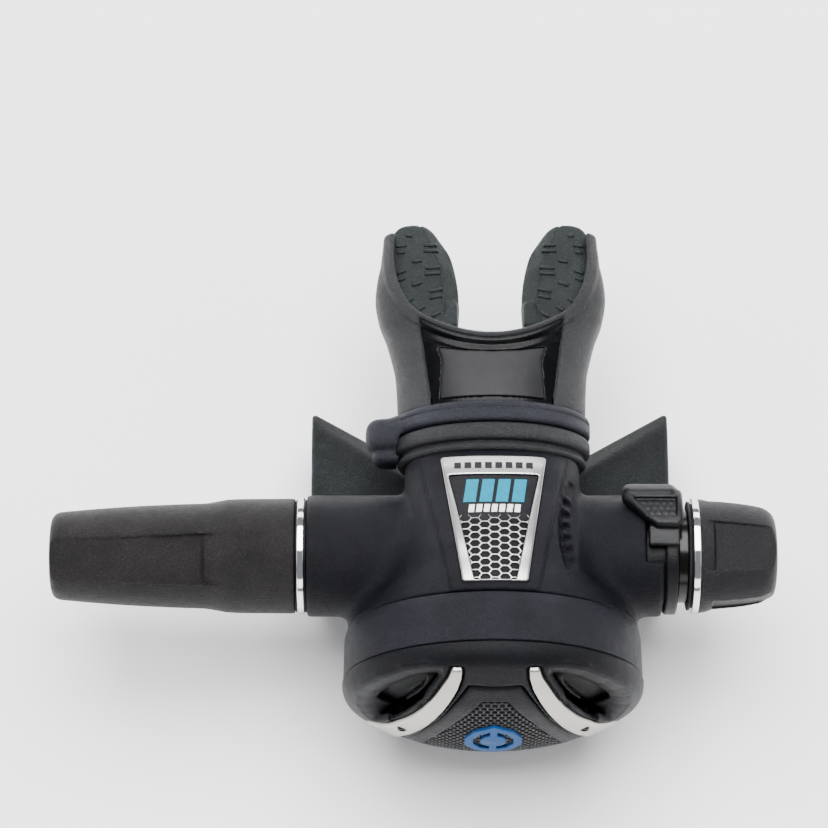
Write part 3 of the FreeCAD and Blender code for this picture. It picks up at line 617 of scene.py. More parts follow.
def bite_u():
    """Plan outline of the open U between the two bite tabs."""
    arc = ease(U_IN + [(-x, y) for x, y in reversed(U_IN[:-1])], 2, False)
    return arc + [(24.2, 100), (-24.2, 100)]


def shield_field(g):
    """Outer skin of the lip shield, and the distance from the edge of the U."""
    a, b, zc, p = curve_through(MOUTH_ST, g.y)
    du = polygon(g.x, g.y, bite_u())
    lower = 0.75 * clip((du - 3.1) / 0.5, 0, 1) + 0.3 * bead(du - 3.2, 0.45)
    f = oval_field(g.x, g.z, a - lower, b - lower, zc, p)
    return f, du


def plate_area(g, du, inset=0.0):
    d = maximum(polygon(g.x, g.y, MOUTH_PLATE), 1.5 - du)
    return d + inset


def make_mouthpiece():
    g = Grid((-30.6, 21, -17.5), (30.6, 85.5, 19.8), 0.4)
    f, du = shield_field(g)
    f = smax(f, slab(g.y, 34.0, 84.9), 1.4)
    f = smax(f, -du, 1.1)
    air = smax(oval_field(g.x, g.z, 15.0, 8.0, 1.6), slab(g.y, 20, 66), 1.0)
    f = smax(f, -air, 1.5)
    # collar, bead and seat behind the tie
    for ca, cb, y0, y1 in ((23.6, 16.1, 21.5, 23.8), (22.7, 15.0, 23.4, 34.7), (24.5, 16.8, 24.25, 28.75)):
        band = smax(mouth_oval(g, ca, cb), slab(g.y, y0, y1), 1.5 if ca > 23 else 0.3)
        f = minimum(f, band)
    neck = maximum(mouth_oval(g, 20.65, 13.95), slab(g.y, 20, 36))
    f = cut(f, neck)
    pocket = filled(plate_area(g, du), 0.5) * (g.z > 3)
    f = f + 0.85 * pocket
    show(skin("mouthpiece_body", g, f, MOUTH, 1), "housing", "mouthpiece")
    make_mouth_plate()
    make_bite_tabs()


def make_mouth_plate():
    """Glossy plate let into the top of the shield: a raised border step and a pale smooth window."""
    g = Grid((-19, 34.2, 8.0), (19, 62.0, 18.6), 0.24)
    f, du = shield_field(g)
    area = plate_area(g, du, 0.15)
    upper = 0.28 * filled(du - 5.4, 0.3) + 0.22 * filled(du - 3.4, 0.3)
    border = smax(area, slab(f, -1.7, -0.62 + upper), 0.2)
    win = rounded_polygon(g.x, g.y, MOUTH_WINDOW, 0.25)
    border = cut(border, win - 0.05)
    show(skin("mouth_plate", g, border, GLOSS), "housing", None)
    window = smax(win + 0.05, slab(f, -1.6, -0.30), 0.2)
    show(skin("mouth_window", g, window, GLOSS_GREY), "housing", None)


def make_bite_tabs():
    g = Grid((-26, 57, -7.5), (26, 88.9, 5.5), 0.32)
    xs = np.abs(g.x)
    d = polygon(xs, g.y, ease(TAB, 2))
    inner = np.interp(g.y, [58, 66, 76, 82, 89], [12.2, 11.6, 12.4, 15.0, 18.0]).astype(np.float32)
    drop = clip((inner - xs) / 3.2, 0, 1)
    top = 1.6 - 1.7 * drop ** 1.3
    tab = smax(d, smax(g.z - top, -3.0 - g.z, 0.8), 1.1)
    groove = 0.35 * bead(xs - inner - 0.2, 0.4)
    lug = rounded_polygon(xs, g.y, [(8.2, 59.8), (8.2, 67.6), (11.4, 66.6), (13.6, 59.8)], 1.2)
    lug = smax(lug, slab(g.z, -6.5, 2.6), 1.8)
    f = smin(tab + groove, lug, 1.0)
    f = maximum(f, xs - 25.4)
    ob = skin("bite_tabs", g, f, TABS, 1)
    show(ob, "housing", None)


def make_bite_bars():
    """Small raised bars on both faces of the tabs."""
    bars = [(20.6, 85.2, 0.8, -5), (22.6, 82.4, 1.3, 8), (22.6, 80.6, 0.9, 8), (15.2, 82.6, 1.6, 0),
            (15.0, 81.0, 1.8, 0), (18.6, 78.2, 1.2, 10), (14.6, 76.4, 1.8, 3), (14.6, 74.8, 1.9, 3),
            (22.6, 75.2, 1.2, 22), (22.6, 73.2, 1.0, 22), (18.6, 72.0, 1.3, 20), (13.8, 70.2, 1.6, 12),
            (13.8, 68.4, 1.6, 12), (20.6, 67.4, 1.1, 38), (17.6, 65.2, 1.1, 34), (13.8, 63.6, 1.2, 30)]
    co, faces = [], []
    for s in (-1, 1):
        for zt, up in ((1.55, 1), (-3.0, -1)):
            for x, y, half, deg in bars:
                a = math.radians(deg)
                e = np.array([math.cos(a), -math.sin(a)])
                n = np.array([math.sin(a), math.cos(a)])
                base = len(co)
                for hw, hl, dz in ((0.46, half + 0.1, -0.25), (0.38, half, 0.40), (0.16, half - 0.2, 0.62)):
                    for i, j in ((-1, -1), (1, -1), (1, 1), (-1, 1)):
                        q = np.array([x, y]) + e * hl * i + n * hw * j
                        co.append((s * q[0], q[1], zt + up * dz))
                for lev in (0, 4):
                    for k in range(4):
                        k2 = (k + 1) % 4
                        faces.append([base + lev + v for v in (k, k2, 4 + k2, 4 + k)])
                faces.append([base + 8, base + 9, base + 10, base + 11])
                faces.append([base + 3, base + 2, base + 1, base])
    ob = mesh_object("bite_bars", place(np.array(co, float)), faces, TABS)
    fix_normals(ob)
    show(ob, "housing", None)


def lump(g, centre, half, power=2.8):
    """Softly squared ellipsoid."""
    s = sum((np.abs(v - c) / h) ** power for v, c, h in zip((g.x, g.y, g.z), centre, half))
    return (s ** (1 / power) - 1) * min(half)


def make_tie():
    g = Grid((-32.5, 21.8, -15), (25, 35.2, 20.2), 0.3)
    band = smax(mouth_oval(g, 24.6, 17.1), slab(g.y, 28.95, 34.4), 1.4)
    band = band + 0.28 * bead(g.y - 32.35, 0.28)
    lobe = lump(g, (-26.4, 29.4, 4.6), (5.0, 4.4, 4.6), 2.9)
    low = lump(g, (-25.6, 24.7, 3.4), (4.2, 2.7, 3.8), 2.7)
    f = smin(band, smin(lobe, low, 0.6), 2.2)
    f = cut(f, mouth_oval(g, 23.15, 15.55), slab(g.y, 22, 36))
    seat = minimum(maximum(mouth_oval(g, 24.6, 16.9), slab(g.y, 24.1, 28.9)),
                      maximum(mouth_oval(g, 23.8, 16.3), slab(g.y, 21, 24.1)))
    f = cut(f, seat)
    show(skin("tie_band", g, f, TIE, 1), "housing", "mouthpiece_tie")


# ---- sleeve, knob, lever
def flutes(g, rad, half, step, fade, centres, edge):
    """Flat-floored scoops round the barrel, negative inside.

    Past fade[0] the floor rounds up to the barrel, and it is out by fade[1].
    """
    r, ang = radial(g)
    way = clip((g.x - fade[0]) / (fade[1] - fade[0]), 0, 1)
    turn = clip((g.x - fade[0]) / (0.16 * (fade[1] - fade[0])), 0, 1)
    flat = np.sqrt(rad * rad - half * half) - step
    out = 1e3
    for centre in centres:
        a = np.radians(ang - centre)
        t, n = r * np.sin(a), r * np.cos(a)
        depth = (flat - n) * (1 - turn) + (rad - step * (1 - way) + 0.05 - r) * turn
        back = maximum(-n, 0.0)
        out = minimum(out, smax(np.abs(t) - half, depth + back, edge))
    return out


def make_sleeve():
    g = Grid((-110, -14.5, -14.5), (-48.4, 14.5, 14.5), 0.38)
    prof = [(-109.6, 10.6), (-100.0, 11.5), (-88.0, 12.35), (-78.0, 12.8), (-71.0, 13.05), (-68.0, 13.5),
            (-65.0, 14.0), (-60.0, 14.15), (-48.6, 14.2)]
    rad = curve_through(prof, g.x)[0]
    r = hypot(g.y, g.z)
    f = smax(r - rad, g.x + 48.6, 0.7)
    f = smax(f, -108.9 - g.x, 2.6)
    half = curve_through([(-112.0, 4.6), (-90.0, 5.6), (-70.0, 6.4), (-48.0, 6.6)], g.x)[0]
    step = curve_through([(-112.0, 0.35), (-95.0, 0.45), (-80.0, 0.8), (-72.0, 1.1), (-48.0, 1.1)], g.x)[0]
    f = smax(f, -flutes(g, rad, half, step, (-71.6, -64.4), (-23.0, 103.0, -149.0), 0.2), 0.22)
    bore = curve_through([(-110.0, 7.6), (-80.0, 7.8), (-72.0, 8.2), (-67.5, 10.4), (-65.0, 12.0),
                          (-48.0, 12.0)],
                         g.x)[0]
    f = maximum(f, bore - r)
    show(skin("sleeve_body", g, f, SLEEVE, 1), "sleeve", "hose_sleeve")


def make_knob():
    g = Grid((48.3, -14.2, -14.2), (70.3, 14.2, 14.2), 0.27)
    prof = [(48.4, 14.1), (50.5, 14.1), (54.0, 13.95), (60.0, 13.4), (65.0, 12.6), (67.5, 12.0), (70.0, 11.3)]
    rad = curve_through(prof, g.x)[0]
    r = hypot(g.y, g.z)
    f = smax(r - rad, g.x - 69.9, 4.2)
    f = maximum(f, 50.55 - g.x)
    f = add(f, r - 12.8, slab(g.x, 48.45, 60))
    f = minimum(f, smax(r - 13.5, slab(g.x, 47.9, 48.58), 0.2))
    f = cut(f, r - 11.8, g.x - 48.1)
    half = curve_through([(48.0, 6.6), (56.0, 6.1), (66.0, 5.3), (71.0, 4.9)], g.x)[0]
    step = curve_through([(48.0, 0.7), (56.0, 0.75), (66.0, 0.6), (71.0, 0.5)], g.x)[0]
    f = smax(f, -flutes(g, rad, half, step, (54.4, 51.6), (-6.5, 86.0, 176.0, -98.0), 0.25), 0.3)
    dish = smax(r - 5.0, 68.9 - g.x, 0.5)
    f = cut(f, dish)
    f = cut(f, r - 3.2, 62.0 - g.x)
    f = cut(f, r - 5.05, g.x - 62.2)
    show(skin("knob_body", g, f, KNOB, 1), "knob", "knob")


DEGREE = 0.27        # of turn, in millimetres along the lever's stem
LEVER_R = 17.0       # radius at which the lever's outline is measured round the barrel


def make_air_lever():
    g = Grid((32, -14.8, -14.8), (47.6, 17.4, 19.0), 0.25)
    r, ang = radial(g)
    s = ang * (LEVER_R * math.pi / 180)
    collar = smax(smax(r - 14.5, 9.06 - r, 0.3), slab(g.x, 42.05, 45.3), 0.8)
    out = [(31.6, 10.8), (31.6, 15.0), (33.0, 16.9), (43.8, 17.0), (46.4, 13.4), (46.4, 3.6), (45.2, 1.9),
           (39.8, 2.1), (37.2, 4.2)]
    d = rounded_polygon(g.x, s, out, 1.6)
    paddle = smax(d, smax(r - 18.25, 15.45 - r, 0.6), 1.3)
    panel = [(34.0, 10.6), (44.9, 10.6), (44.6, 4.6), (38.0, 4.6)]
    dp = rounded_polygon(g.x, s, panel, 0.6)
    paddle = smax(paddle, -smax(dp, 17.3 - r, 0.3), 0.4)
    tri = np.abs(np.sin(g.x * 1.9 + s * 1.1)) * np.abs(np.sin(s * 1.9 - 0.4))
    paddle = paddle - 0.30 * tri * clip(-dp / 0.6, 0, 1)
    ridge = smax(box2(g.x, s, 38.4, 13.8, 6.2, 2.3, 1.8), smax(r - 18.95, 16.5 - r, 0.4), 1.3)
    paddle = smin(paddle, ridge, 0.8)
    stem = smax(slab(g.x, 37.9, 43.6), slab(ang, -8, 10) * DEGREE, 0.4)
    stem = smax(smax(r - 16.2, 12.7 - r, 0.3), stem, 0.5)
    link = both(r - 16.2, 12.6 - r, slab(g.x, 42.05, 45.3), slab(ang, -8, 40) * DEGREE)
    f = smin(minimum(smin(collar, link, 0.4), stem), paddle, 0.5)
    show(skin("lever_body", g, f, LEVER, 1), "air_flow", "air_lever")


# ---- cover
BLADE = [(-10.3, 32.7), (-11.3, 29.6), (-12.9, 26.2), (-15.0, 21.4), (-17.4, 16.2), (-20.5, 10.0),
         (-23.7, 4.0), (-27.2, -4.0), (-31.2, -12.4), (-23.6, -12.6), (-21.9, -4.6), (-19.1, 1.8),
         (-16.1, 8.7), (-13.1, 16.4), (-10.8, 22.0), (-9.0, 26.8), (-8.1, 30.4), (-7.9, 33.1)]
VENT = [(-12.6, 32.4), (-16.7, 31.2), (-21.5, 28.3), (-27.5, 21.7), (-31.2, 15.4), (-33.1, 9.4),
        (-33.4, 3.3), (-32.2, -1.5), (-30.2, -6.0), (-28.4, -3.4), (-24.9, 4.5), (-21.7, 10.5),
        (-18.6, 16.7), (-16.2, 21.9), (-14.1, 26.7), (-12.7, 30.2)]
DOME_SLOPE = 0.93    # from depth to distance, roughly
VENT_STEP, VENT_DROP, VENT_RUN = 0.3, 4.1, 8.0
VENT_WIDE = VENT[:9] + [(-20.0, -14.0), (-2.0, 30.0), (-6.0, 34.0)]
VENT_HOLE = [(-17.0, 24.9), (-16.4, 21.8), (-17.0, 18.7), (-19.8, 12.9), (-22.3, 7.0), (-24.6, 2.2),
             (-26.9, 4.2), (-28.1, 6.9), (-27.3, 10.2), (-23.9, 17.3), (-20.3, 22.5)]


def arched(side, radius, steps, grow=0.0):
    """Outline of a right side, an arc below it, and the same side mirrored."""
    right = [(x + grow, z + (grow if k == 0 else 0)) for k, (x, z) in enumerate(side)]
    start = math.atan2(side[-1][1], side[-1][0])
    angles = [start + (-math.pi - 2 * start) * k / steps for k in range(1, steps)]
    arc = [((radius + grow) * math.cos(a), (radius + grow) * math.sin(a)) for a in angles]
    return right + arc + [(-x, z) for x, z in reversed(right)]


def bell(grow=0.0):
    side = [(5.9, 27.8), (9.7, 20.4), (12.6, 13.2), (15.6, 6.0), (19.6, -4.6), (21.6, -11.0), (22.0, -17.3)]
    return arched(side, 28.0, 16, grow)


def mesh_outline():
    return arched([(3.1, 22.7), (9.7, 10.2), (13.2, 1.5), (15.8, -6.0), (17.6, -14.4)], 22.8, 12)


DOME = [(0.0, 46.0), (10.0, 45.5), (20.0, 43.9), (25.8, 41.7), (30.4, 39.4), (34.7, 37.0), (37.5, 35.0)]


def front_view(g):
    """At each point: the dome's depth, radius from the cover's axis, own depth, height over the axis."""
    rc = hypot(g.x, g.z - COVER_Z)
    radii = np.linspace(DOME[0][0], DOME[-1][0], 200)
    depth = np.interp(rc, radii, curve_through(DOME, radii)[0]).astype(np.float32)
    return depth, rc, -g.y, g.z - COVER_Z


def make_cover():
    g = Grid((-38, -46.5, -42), (38, -25.5, 34), 0.42)
    depth, rc, d, zf = front_view(g)
    top = (d - depth) * DOME_SLOPE
    f = smax(top, rc - 37.0, 2.8)
    f = smax(f, 31.3 - d, 0.4)
    f = add(f, rc - RIM_R, slab(d, 25.7, 33.0))
    inner = smax((d - depth + WALL) * DOME_SLOPE, rc - 31.6, 1.0)
    f = cut(f, inner, 24.0 - d)
    f = smax(f, -maximum(rounded_polygon(g.x, zf, bell(0.5), 1.5), 33.0 - d), 0.5)
    # scooped vents outside the blades: a smaller hole in each floor, closed by a plate just behind it
    for s in (-1, 1):
        xs = -g.x * s
        dh = rounded_polygon(xs, zf, VENT_HOLE, 0.8)
        rim = polygon(xs, zf, VENT_WIDE)
        t = clip(-rim / VENT_RUN, 0, 1)
        sink = VENT_STEP * clip(-rim / 0.5, 0, 1) + VENT_DROP * t * t * (3 - 2 * t)
        bowl = smax(polygon(xs, zf, VENT), depth - sink - d, 0.3)
        f = smax(f, -bowl, 0.35)
        skirt = maximum(polygon(xs, zf, VENT) - 1.2, -dh)
        skirt = smax(skirt, slab(d, depth - sink - 1.5, depth - sink), 0.3)
        f = minimum(f, skirt)
        f = smax(f, -maximum(dh, 29.0 - d), 0.15)
        f = add(f, dh - 1.0, slab(d, depth - sink - 2.9, depth - sink - 1.8))
        f = add(f, np.abs(zf - 9.5 - 0.35 * (xs + 24)) - 0.55, slab(d, 31.0, 33.2), dh - 2.5)
    f = add(f, rc - 7.0, 4.15 - rc, slab(d, 29.6, 31.4))
    for k in range(4):
        w = math.radians(45 + 90 * k)
        al = g.x * math.cos(w) + zf * math.sin(w)
        ac = np.abs(-g.x * math.sin(w) + zf * math.cos(w)) - 1.6
        f = add(f, ac, slab(al, 5, 33), slab(d, 29.6, 31.4))
    # channels the blades sit in
    for s in (-1, 1):
        db = polygon(-g.x * s, zf, BLADE) - 0.55
        f = smax(f, -maximum(db, depth - 1.0 - d), 0.25)
    show(skin("cover_shell", g, f, COVER), "housing", "cover")


SCREW_X, SCREW_Z = 22.2, 1.6


def make_blade_screws():
    """Small socket-head screws sunk in the blades."""
    for side, word in ((-1, "left"), (1, "right")):
        head = soften([(-38.0, 0.02), (-38.0, 0.9), (-42.2, 0.9), (-42.4, 1.2), (-43.75, 1.2), (-43.95, 0.7),
                       (-43.2, 0.62), (-43.2, 0.02)], 0.08)
        ob = lathe("blade_screw_" + word, head, SHAFT, (side * SCREW_X, 0, COVER_Z + SCREW_Z), "y", 48)
        show(ob, "housing", "blade_screws")


def make_blade(side):
    x = sorted((side * 7.0, side * 32.0))
    g = Grid((x[0], -45.6, -17.8), (x[1], -35.2, 30.6), 0.24)
    depth, _, d, zf = front_view(g)
    db = rounded_polygon(-g.x * side if side > 0 else g.x, zf, BLADE, 0.35)
    f = smax(db, slab(d, depth - 0.95, depth + 0.5), 0.45)
    hole = hypot(g.x - side * SCREW_X, zf - SCREW_Z) - 1.35
    f = smax(f, -maximum(hole, depth + 0.05 - d), 0.25)
    node = "blade_right" if side > 0 else "blade_left"
    show(skin(node + "_trim", g, f, SATIN, 1), "housing", node)


def make_purge_button():
    g = Grid((-23, -46.2, -33), (23, -26, 24), 0.38)
    depth, rc, d, zf = front_view(g)
    db = rounded_polygon(g.x, zf, bell(), 1.5)
    f = smax(db, d - depth + 0.2, 1.3)
    f = maximum(f, 36.6 - d)
    inner = smax(db + 1.6, d - depth + 3.0, 0.5)
    f = cut(f, inner)
    dm = rounded_polygon(g.x, zf, mesh_outline(), 0.8)
    f = smax(f, -smax(dm, depth - 1.25 - d, 0.4), 0.5)
    f = add(f, rc - 4.0, slab(d, 26.1, 43.0))
    show(skin("purge_body", g, f, COVER, 1), "purge", "purge_button")


def hex_walls(u, v, pitch, wall):
    """Distance to the walls of a honeycomb, negative inside a wall."""
    a = np.abs(cell(u, v, pitch))
    return (0.5 - a) * pitch - wall / 2


def cell(u, v, pitch):
    """0 in the middle of a honeycomb cell, 0.5 at its walls."""
    best = None
    s3 = math.sqrt(3)
    for ou, ov in ((0, 0), (pitch / 2, pitch * s3 / 2)):
        x = np.mod(u - ou + pitch / 2, pitch) - pitch / 2
        y = np.mod(v - ov + pitch * s3 / 2, pitch * s3) - pitch * s3 / 2
        r = both(np.abs(x), np.abs(x * 0.5 + y * s3 / 2), np.abs(x * 0.5 - y * s3 / 2)) / pitch
        best = r if best is None else minimum(best, r)
    return best


def make_purge_mesh():
    g = Grid((-18, -46.0, -27.3), (18, -41.2, 18.9), 0.2)
    depth, _, d, zf = front_view(g)
    dm = polygon(g.x, zf, mesh_outline()) + 0.06
    wall = hex_walls(g.x, zf, 1.75, 0.40)
    f = maximum(dm, slab(d, depth - 1.2, depth - 0.35))
    f = cut(f, -wall, depth - 1.05 - d)
    show(skin("purge_honeycomb", g, f, MESH_DARK), "purge", "purge_mesh")


def emblem(s):
    pts = [(0, 11), (4.6, 7.4), (7, 1.5), (7, -4.5), (4.6, -10), (0, -13)]
    return [(x * s, z * s) for x, z in pts] + [(-x * s, z * s) for x, z in reversed(pts[1:-1])]


def make_emblem():
    g = Grid((-7.5, -46.9, -17.6), (7.5, -44.2, 7.6), 0.16)
    depth, _, d, zf = front_view(g)
    ring = cut(rounded_polygon(g.x, zf, emblem(1.0), 0.8), rounded_polygon(g.x, zf, emblem(0.70), 0.5))
    core = rounded_polygon(g.x, zf, emblem(0.46), 0.4)
    bridge = box2(g.x, zf, 0.0, -0.8, 0.9, 9.0)
    f = minimum(minimum(ring, core), bridge)
    f = smax(f, slab(d, depth - 0.6, depth + 0.3), 0.25)
    show(skin("purge_badge", g, f, BLUE), "purge", "purge_emblem")


# ---- name plate
PLATE = [(-13.0, 19.2), (13.0, 19.2), (7.8, -16.2), (-7.8, -16.2)]
PANEL_IN = [(-11.0, 13.6), (11.0, 13.6), (5.0, -15.9), (-5.0, -15.9)]


def make_name_plate():
    g = Grid((-13.8, -16.9, 12.4), (13.8, 19.9, 34.3), 0.2)
    h = body_field(g, LAND)
    outer = rounded_polygon(g.x, g.y, PLATE, 0.9)
    inner = rounded_polygon(g.x, g.y, PANEL_IN, 0.3)
    f = smax(smax(outer, -inner, 0.15), slab(h, -0.15, 0.62), 0.3)
    seat = maximum(smax(outer - 0.4, -(inner - 0.2), 0.1), slab(h, -0.3, 0.16))
    show(skin("plate_seat", g, seat, BLACK), "housing", None)
    show(skin("plate_frame", g, f, SATIN_FINE), "housing", "name_plate")


def make_plate_panel():
    g = Grid((-11.3, -16.2, 15.0), (11.3, 13.9, 34.0), 0.3)
    h = body_field(g, LAND)
    f = maximum(polygon(g.x, g.y, PANEL_IN) - 0.1, slab(h, -0.2, 0.12))
    ob = show(skin("plate_back", g, f, PANEL), "housing", "plate_panel")
    ob.data.materials.append(BLACK)
    me = ob.data
    c = np.zeros(len(me.polygons) * 3, np.float32)
    me.polygons.foreach_get("center", c)
    y = c.reshape(-1, 3)[:, 1] * 1000
    me.polygons.foreach_set("material_index", (y < 0.6).astype(np.int32))


def make_plate_mesh():
    g = Grid((-8.9, -16.1, 23.6), (8.9, 3.2, 34.0), 0.13)
    h = body_field(g, LAND)
    fade = clip((g.y + 0.6) / 3.0, 0, 1)
    wall = hex_walls(g.y, g.x / 1.33, 2.05, 0.30)
    f = maximum(wall + 0.12 * fade, slab(h, 0.05, 0.40 - 0.22 * fade))
    f = maximum(f, polygon(g.x, g.y, PANEL_IN) + 0.02)
    f = maximum(f, g.y - 2.4)
    show(skin("plate_honeycomb", g, f, SATIN_FINE), "housing", "plate_mesh")


def patch(corners, lift=0.16, thick=0.1, n=6):
    """Thin raised print on the panel between four plan corners."""
    p = np.array(corners, float)
    s, t = np.meshgrid(np.linspace(0, 1, n + 1), np.linspace(0, 1, n + 1), indexing="ij")
    s, t = s[..., None], t[..., None]
    q = (p[0] * (1 - s) * (1 - t) + p[1] * s * (1 - t) + p[2] * s * t + p[3] * (1 - s) * t).reshape(-1, 2)
    z = top_z(q[:, 0], q[:, 1], LAND)
    up = np.column_stack([q, z + lift + thick])
    lo = np.column_stack([q, z + lift - 0.1])
    m = n + 1
    k = np.arange(n)
    i, j = np.meshgrid(k, k, indexing="ij")
    a = (i * m + j).ravel()
    quads = np.stack([a, a + m, a + m + 1, a + 1], -1)
    rim = [i * m for i in range(m)] + [n * m + j for j in range(1, m)]
    rim += [i * m + n for i in range(n - 1, -1, -1)] + list(range(n - 1, 0, -1))
    faces = [list(f) for f in quads] + [[x + m * m for x in reversed(list(f))] for f in quads]
    for x, y in zip(rim, rim[1:] + rim[:1]):
        faces.append([y, x, x + m * m, y + m * m])
    return np.vstack([up, lo]), faces


def print_marks(name, shapes, mat, lift=0.16):
    co, faces = [], []
    for sh in shapes:
        c, f = patch(sh, lift)
        base = sum(len(x) for x in co)
        co.append(c)
        faces += [[v + base for v in face] for face in f]
    ob = mesh_object(name, place(np.vstack(co)), faces, mat, smooth=False)
    fix_normals(ob)
    show(ob, "housing", None)


def slanted(x, y0, y1, w, lean=0.9):
    return [(x, y0), (x + w, y0), (x + w + lean, y1), (x + lean, y1)]


def make_print():
    bars = [slanted(-7.5 + 3.9 * k, 5.6, 12.2, 3.0) for k in range(4)]
    print_marks("print_bars", bars, CYAN)
    blocks = [slanted(-6.3 + 1.85 * k, 2.7, 4.9, 1.35, 0.3) for k in range(7)]
    print_marks("print_blocks", blocks, PRINT_WHITE)
    dashes = [[(x + 2.5 * k, y) for x, y in ((-9.6, 15.3), (-7.9, 15.3), (-7.9, 17.1), (-9.6, 17.1))]
              for k in range(8)]
    print_marks("print_header", dashes, HEADER, 0.62)


# ---- rings
def band(x0, x1, lo, hi):
    """Outline of a plain ring between two radii."""
    return [(x0, lo), (x0, hi), (x1, hi), (x1, lo)]


def make_rings():
    ring = soften([(-18.8, 34.1), (-18.8, 36.0), (-21.0, 36.5), (-31.1, 36.75), (-31.2, 34.1)], 0.5)
    show(lathe("clamp_ring", ring, RING, (0, 0, COVER_Z), "y", 256), "housing", "cover_ring")
    cap = [(68.65, 0.02), (68.65, 4.5), (70.1, 4.5), (70.35, 0.02)]
    for name, outline, corner, mat, body, node, slot in (
            ("trim_band", band(-48.0, -46.35, 9.05, 14.45), 0.25, CHROME, "housing", "trim_ring",
             "chrome_trim"),
            ("trim_seat", band(-48.45, -45.85, 9.3, 13.9), 0.1, BLACK, "housing", None, "chrome_trim"),
            ("knob_band", band(49.0, 50.6, 12.85, 14.35), 0.2, CHROME, "knob", "knob_ring", "chrome_trim"),
            ("polished_nut", band(45.4, 48.0, 6.9, 11.6), 0.3, SHAFT, "housing", "knob_nut", "dark_chrome"),
            ("knob_end_cap", cap, 0.4, KNOB, "knob", "knob_cap", "knob_black")):
        show(lathe(name, soften(outline, corner), mat), body, node)


def coil(name, radius, wire, length, turns, way):
    """Closed helical spring; way turns (across, across, along) into model axes."""
    steps, ring = 48, 12
    pitch = (length - 2 * wire) / turns
    k = np.arange(steps * turns + 1)[:, None]
    a = 2 * math.pi * k / steps
    w = 2 * math.pi * np.arange(ring)[None, :] / ring
    rr = radius + wire * np.cos(w) + 0 * a
    along = wire + pitch * k / steps + wire * np.sin(w)
    co = way(np.stack([rr * np.cos(a), rr * np.sin(a), along + 0 * a], -1).reshape(-1, 3))
    i, j = np.meshgrid(np.arange(steps * turns), np.arange(ring), indexing="ij")
    p, q = (i * ring + j).ravel(), (i * ring + (j + 1) % ring).ravel()
    faces = [list(f) for f in np.stack([p, q, q + ring, p + ring], -1)]
    last = steps * turns * ring
    faces += [[ring - 1 - n for n in range(ring)], [last + n for n in range(ring)]]
    ob = mesh_object(name, place(co), faces, STEEL)
    fix_normals(ob)
    return ob


def make_springs():
    purge = coil("purge_spring_coil", 5.0, 0.4, 9.0, 5,
                 lambda c: np.column_stack([c[:, 0], c[:, 2] - 40.5, COVER_Z - c[:, 1]]))
    show(purge, "housing", "purge_spring")
    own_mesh(purge)
    valve = coil("poppet_spring_coil", 3.4, 0.45, 12.0, 7,
                 lambda c: np.column_stack([c[:, 2] + 16.5, c[:, 0], c[:, 1]]))
    show(valve, "housing", "poppet_spring")
    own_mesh(valve)


# (radius, depth)
DIAPHRAGM_FRONT = [(0.0, 25.7), (12.8, 25.7), (14.9, 24.4), (20.0, 23.8), (26.6, 24.2), (29.2, 25.65),
                   (33.7, 25.65)]
DIAPHRAGM_BACK = [(0.0, 24.9), (12.5, 24.9), (14.5, 23.6), (20.0, 23.0), (27.0, 23.4), (29.5, 24.9),
                  (33.7, 24.9)]


def make_diaphragm():
    """Thin silicone disc with one soft convolution, built as twelve separate sectors."""
    count, across = 12, 10
    r = np.linspace(0.05, 33.7, 60)
    sides = []
    for points in (DIAPHRAGM_FRONT, DIAPHRAGM_BACK):
        d = np.interp(r, *zip(*points))
        for _ in range(3):
            d = np.concatenate([d[:1], (d[:-2] + 2 * d[1:-1] + d[2:]) / 4, d[-1:]])
        sides.append(d)
    for n in range(count):
        mid = 2 * math.pi * (n + 0.5) / count
        a = mid + (np.linspace(0, 1, across) - 0.5) * 2 * math.pi / count
        rr, aa = np.meshgrid(r, a, indexing="ij")
        co = []
        for d in sides:
            y = -np.repeat(d[:, None], across, 1)
            co.append(np.stack([rr * np.cos(aa), y, COVER_Z + rr * np.sin(aa)], -1).reshape(-1, 3))
        i, j = np.meshgrid(np.arange(len(r) - 1), np.arange(across - 1), indexing="ij")
        p = (i * across + j).ravel()
        quads = np.stack([p, p + 1, p + across + 1, p + across], -1)
        m = len(r) * across
        faces = [list(f) for f in quads] + [[v + m for v in reversed(list(f))] for f in quads]
        rim = (list(range(across)) + [q * across + across - 1 for q in range(1, len(r))]
               + [(len(r) - 1) * across + q for q in range(across - 2, -1, -1)]
               + [q * across for q in range(len(r) - 2, 0, -1)])
        faces += [[y, x, x + m, y + m] for x, y in zip(rim, rim[1:] + rim[:1])]
        ob = mesh_object("diaphragm_sector_%d" % (n + 1), place(np.vstack(co)), faces, CLEAR)
        fix_normals(ob)
        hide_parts("diaphragm")
        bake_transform(ob)


FINISH = {STEEL: "diaphragm_plate lever_pin demand_lever knob_screw",
          CHROME: "valve_body inlet_fitting",
          SEAL: "body_o_rings orifice_o_ring poppet_seat balance_o_ring control_o_ring",
          BRASS: "orifice balance_chamber control_screw",
          WHITE: "poppet",
          BLACK: "lock_nut",
          LEVER: "air_vane",
          CLEAR: "exhaust_valve"}


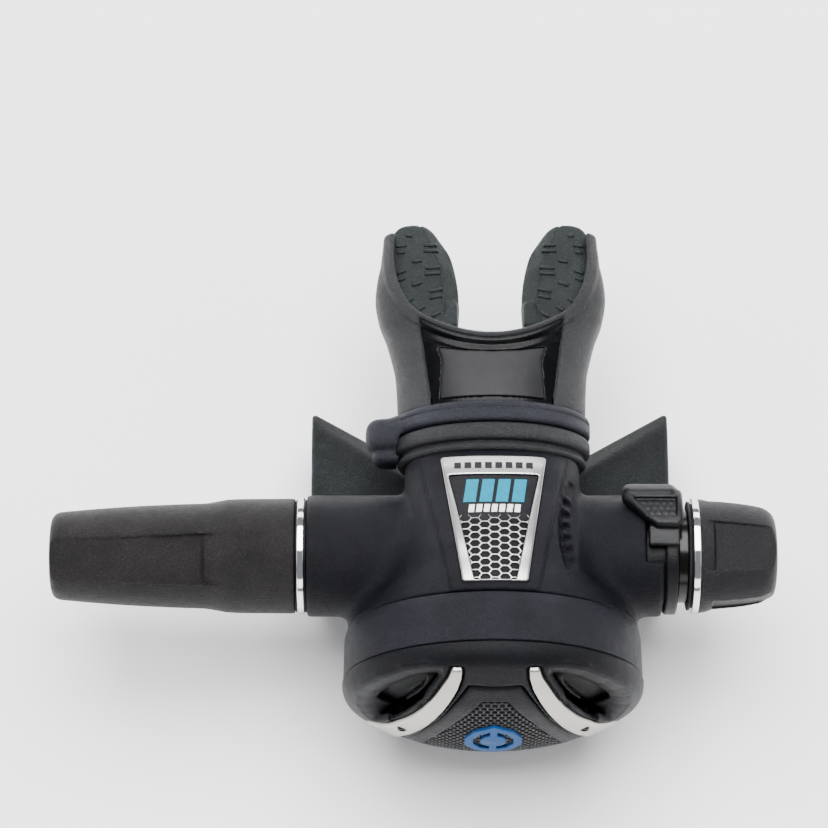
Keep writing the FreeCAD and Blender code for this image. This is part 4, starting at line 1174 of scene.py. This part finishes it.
def finish_cad():
    for mat, nodes in FINISH.items():
        for node in nodes.split():
            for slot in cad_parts[node].material_slots:
                slot.material = mat


# ---- stage
def make_stage():
    m, nt, b = new_material("floor_paper")
    v = noise(nt, 3.0, 2.0)
    paper = ramp(nt, v, [(0.3, (0.925, 0.925, 0.93)), (0.7, (0.945, 0.945, 0.95))])
    link(nt, paper, b, "Base Color")
    setup(b, Roughness=0.9)
    s, gap = 3000.0, 0.02
    co = np.array([(x, y, FLOOR_Z - gap) for x, y in ((-s, -s), (s, -s), (s, s), (-s, s))])
    mesh_object("floor", place(co), np.array([[0, 1, 2, 3]]), m, False)
    w = bpy.data.worlds.new("studio")
    bpy.context.scene.world = w
    w.use_nodes = True
    setup(w.node_tree.nodes["Background"], Color=(0.93, 0.95, 1.0, 1), Strength=0.30)
    centre = Vector((CX - 15, 20, 0)) * MM

    def area(name, deg, azimuth, dist, sx, sy, power, colour=(1, 1, 1)):
        d = bpy.data.lights.new(name, "AREA")
        d.shape = "RECTANGLE"
        d.size, d.size_y, d.energy, d.color = sx, sy, power, colour
        o = bpy.data.objects.new(name, d)
        bpy.context.scene.collection.objects.link(o)
        a, e = math.radians(azimuth), math.radians(deg)
        way = Vector((math.sin(e) * math.sin(a), math.sin(e) * math.cos(a), math.cos(e)))
        o.location = centre + way * dist
        o.rotation_euler = (-way).to_track_quat("-Z", "Y").to_euler()

    area("key_soft", 18, 0, 1.6, 1.6, 1.5, 108)
    area("back_strip", 72, 0, 1.5, 1.6, 0.35, 9)
    area("left_fill", 66, -90, 1.5, 1.0, 1.0, 7)
    area("right_fill", 66, 90, 1.5, 1.0, 1.0, 7)
    area("front_low", 74, 180, 1.5, 1.8, 0.5, 9)


for make in (make_case, make_exhaust_tee, make_mouthpiece, make_bite_bars, make_tie, make_sleeve, make_knob,
             make_air_lever, make_cover, make_blade_screws):
    make()
make_blade(-1)
make_blade(1)
for make in (make_purge_button, make_purge_mesh, make_emblem, make_name_plate, make_plate_panel,
             make_plate_mesh,
             make_print, make_rings, make_springs, make_diaphragm, finish_cad, make_stage):
    make()
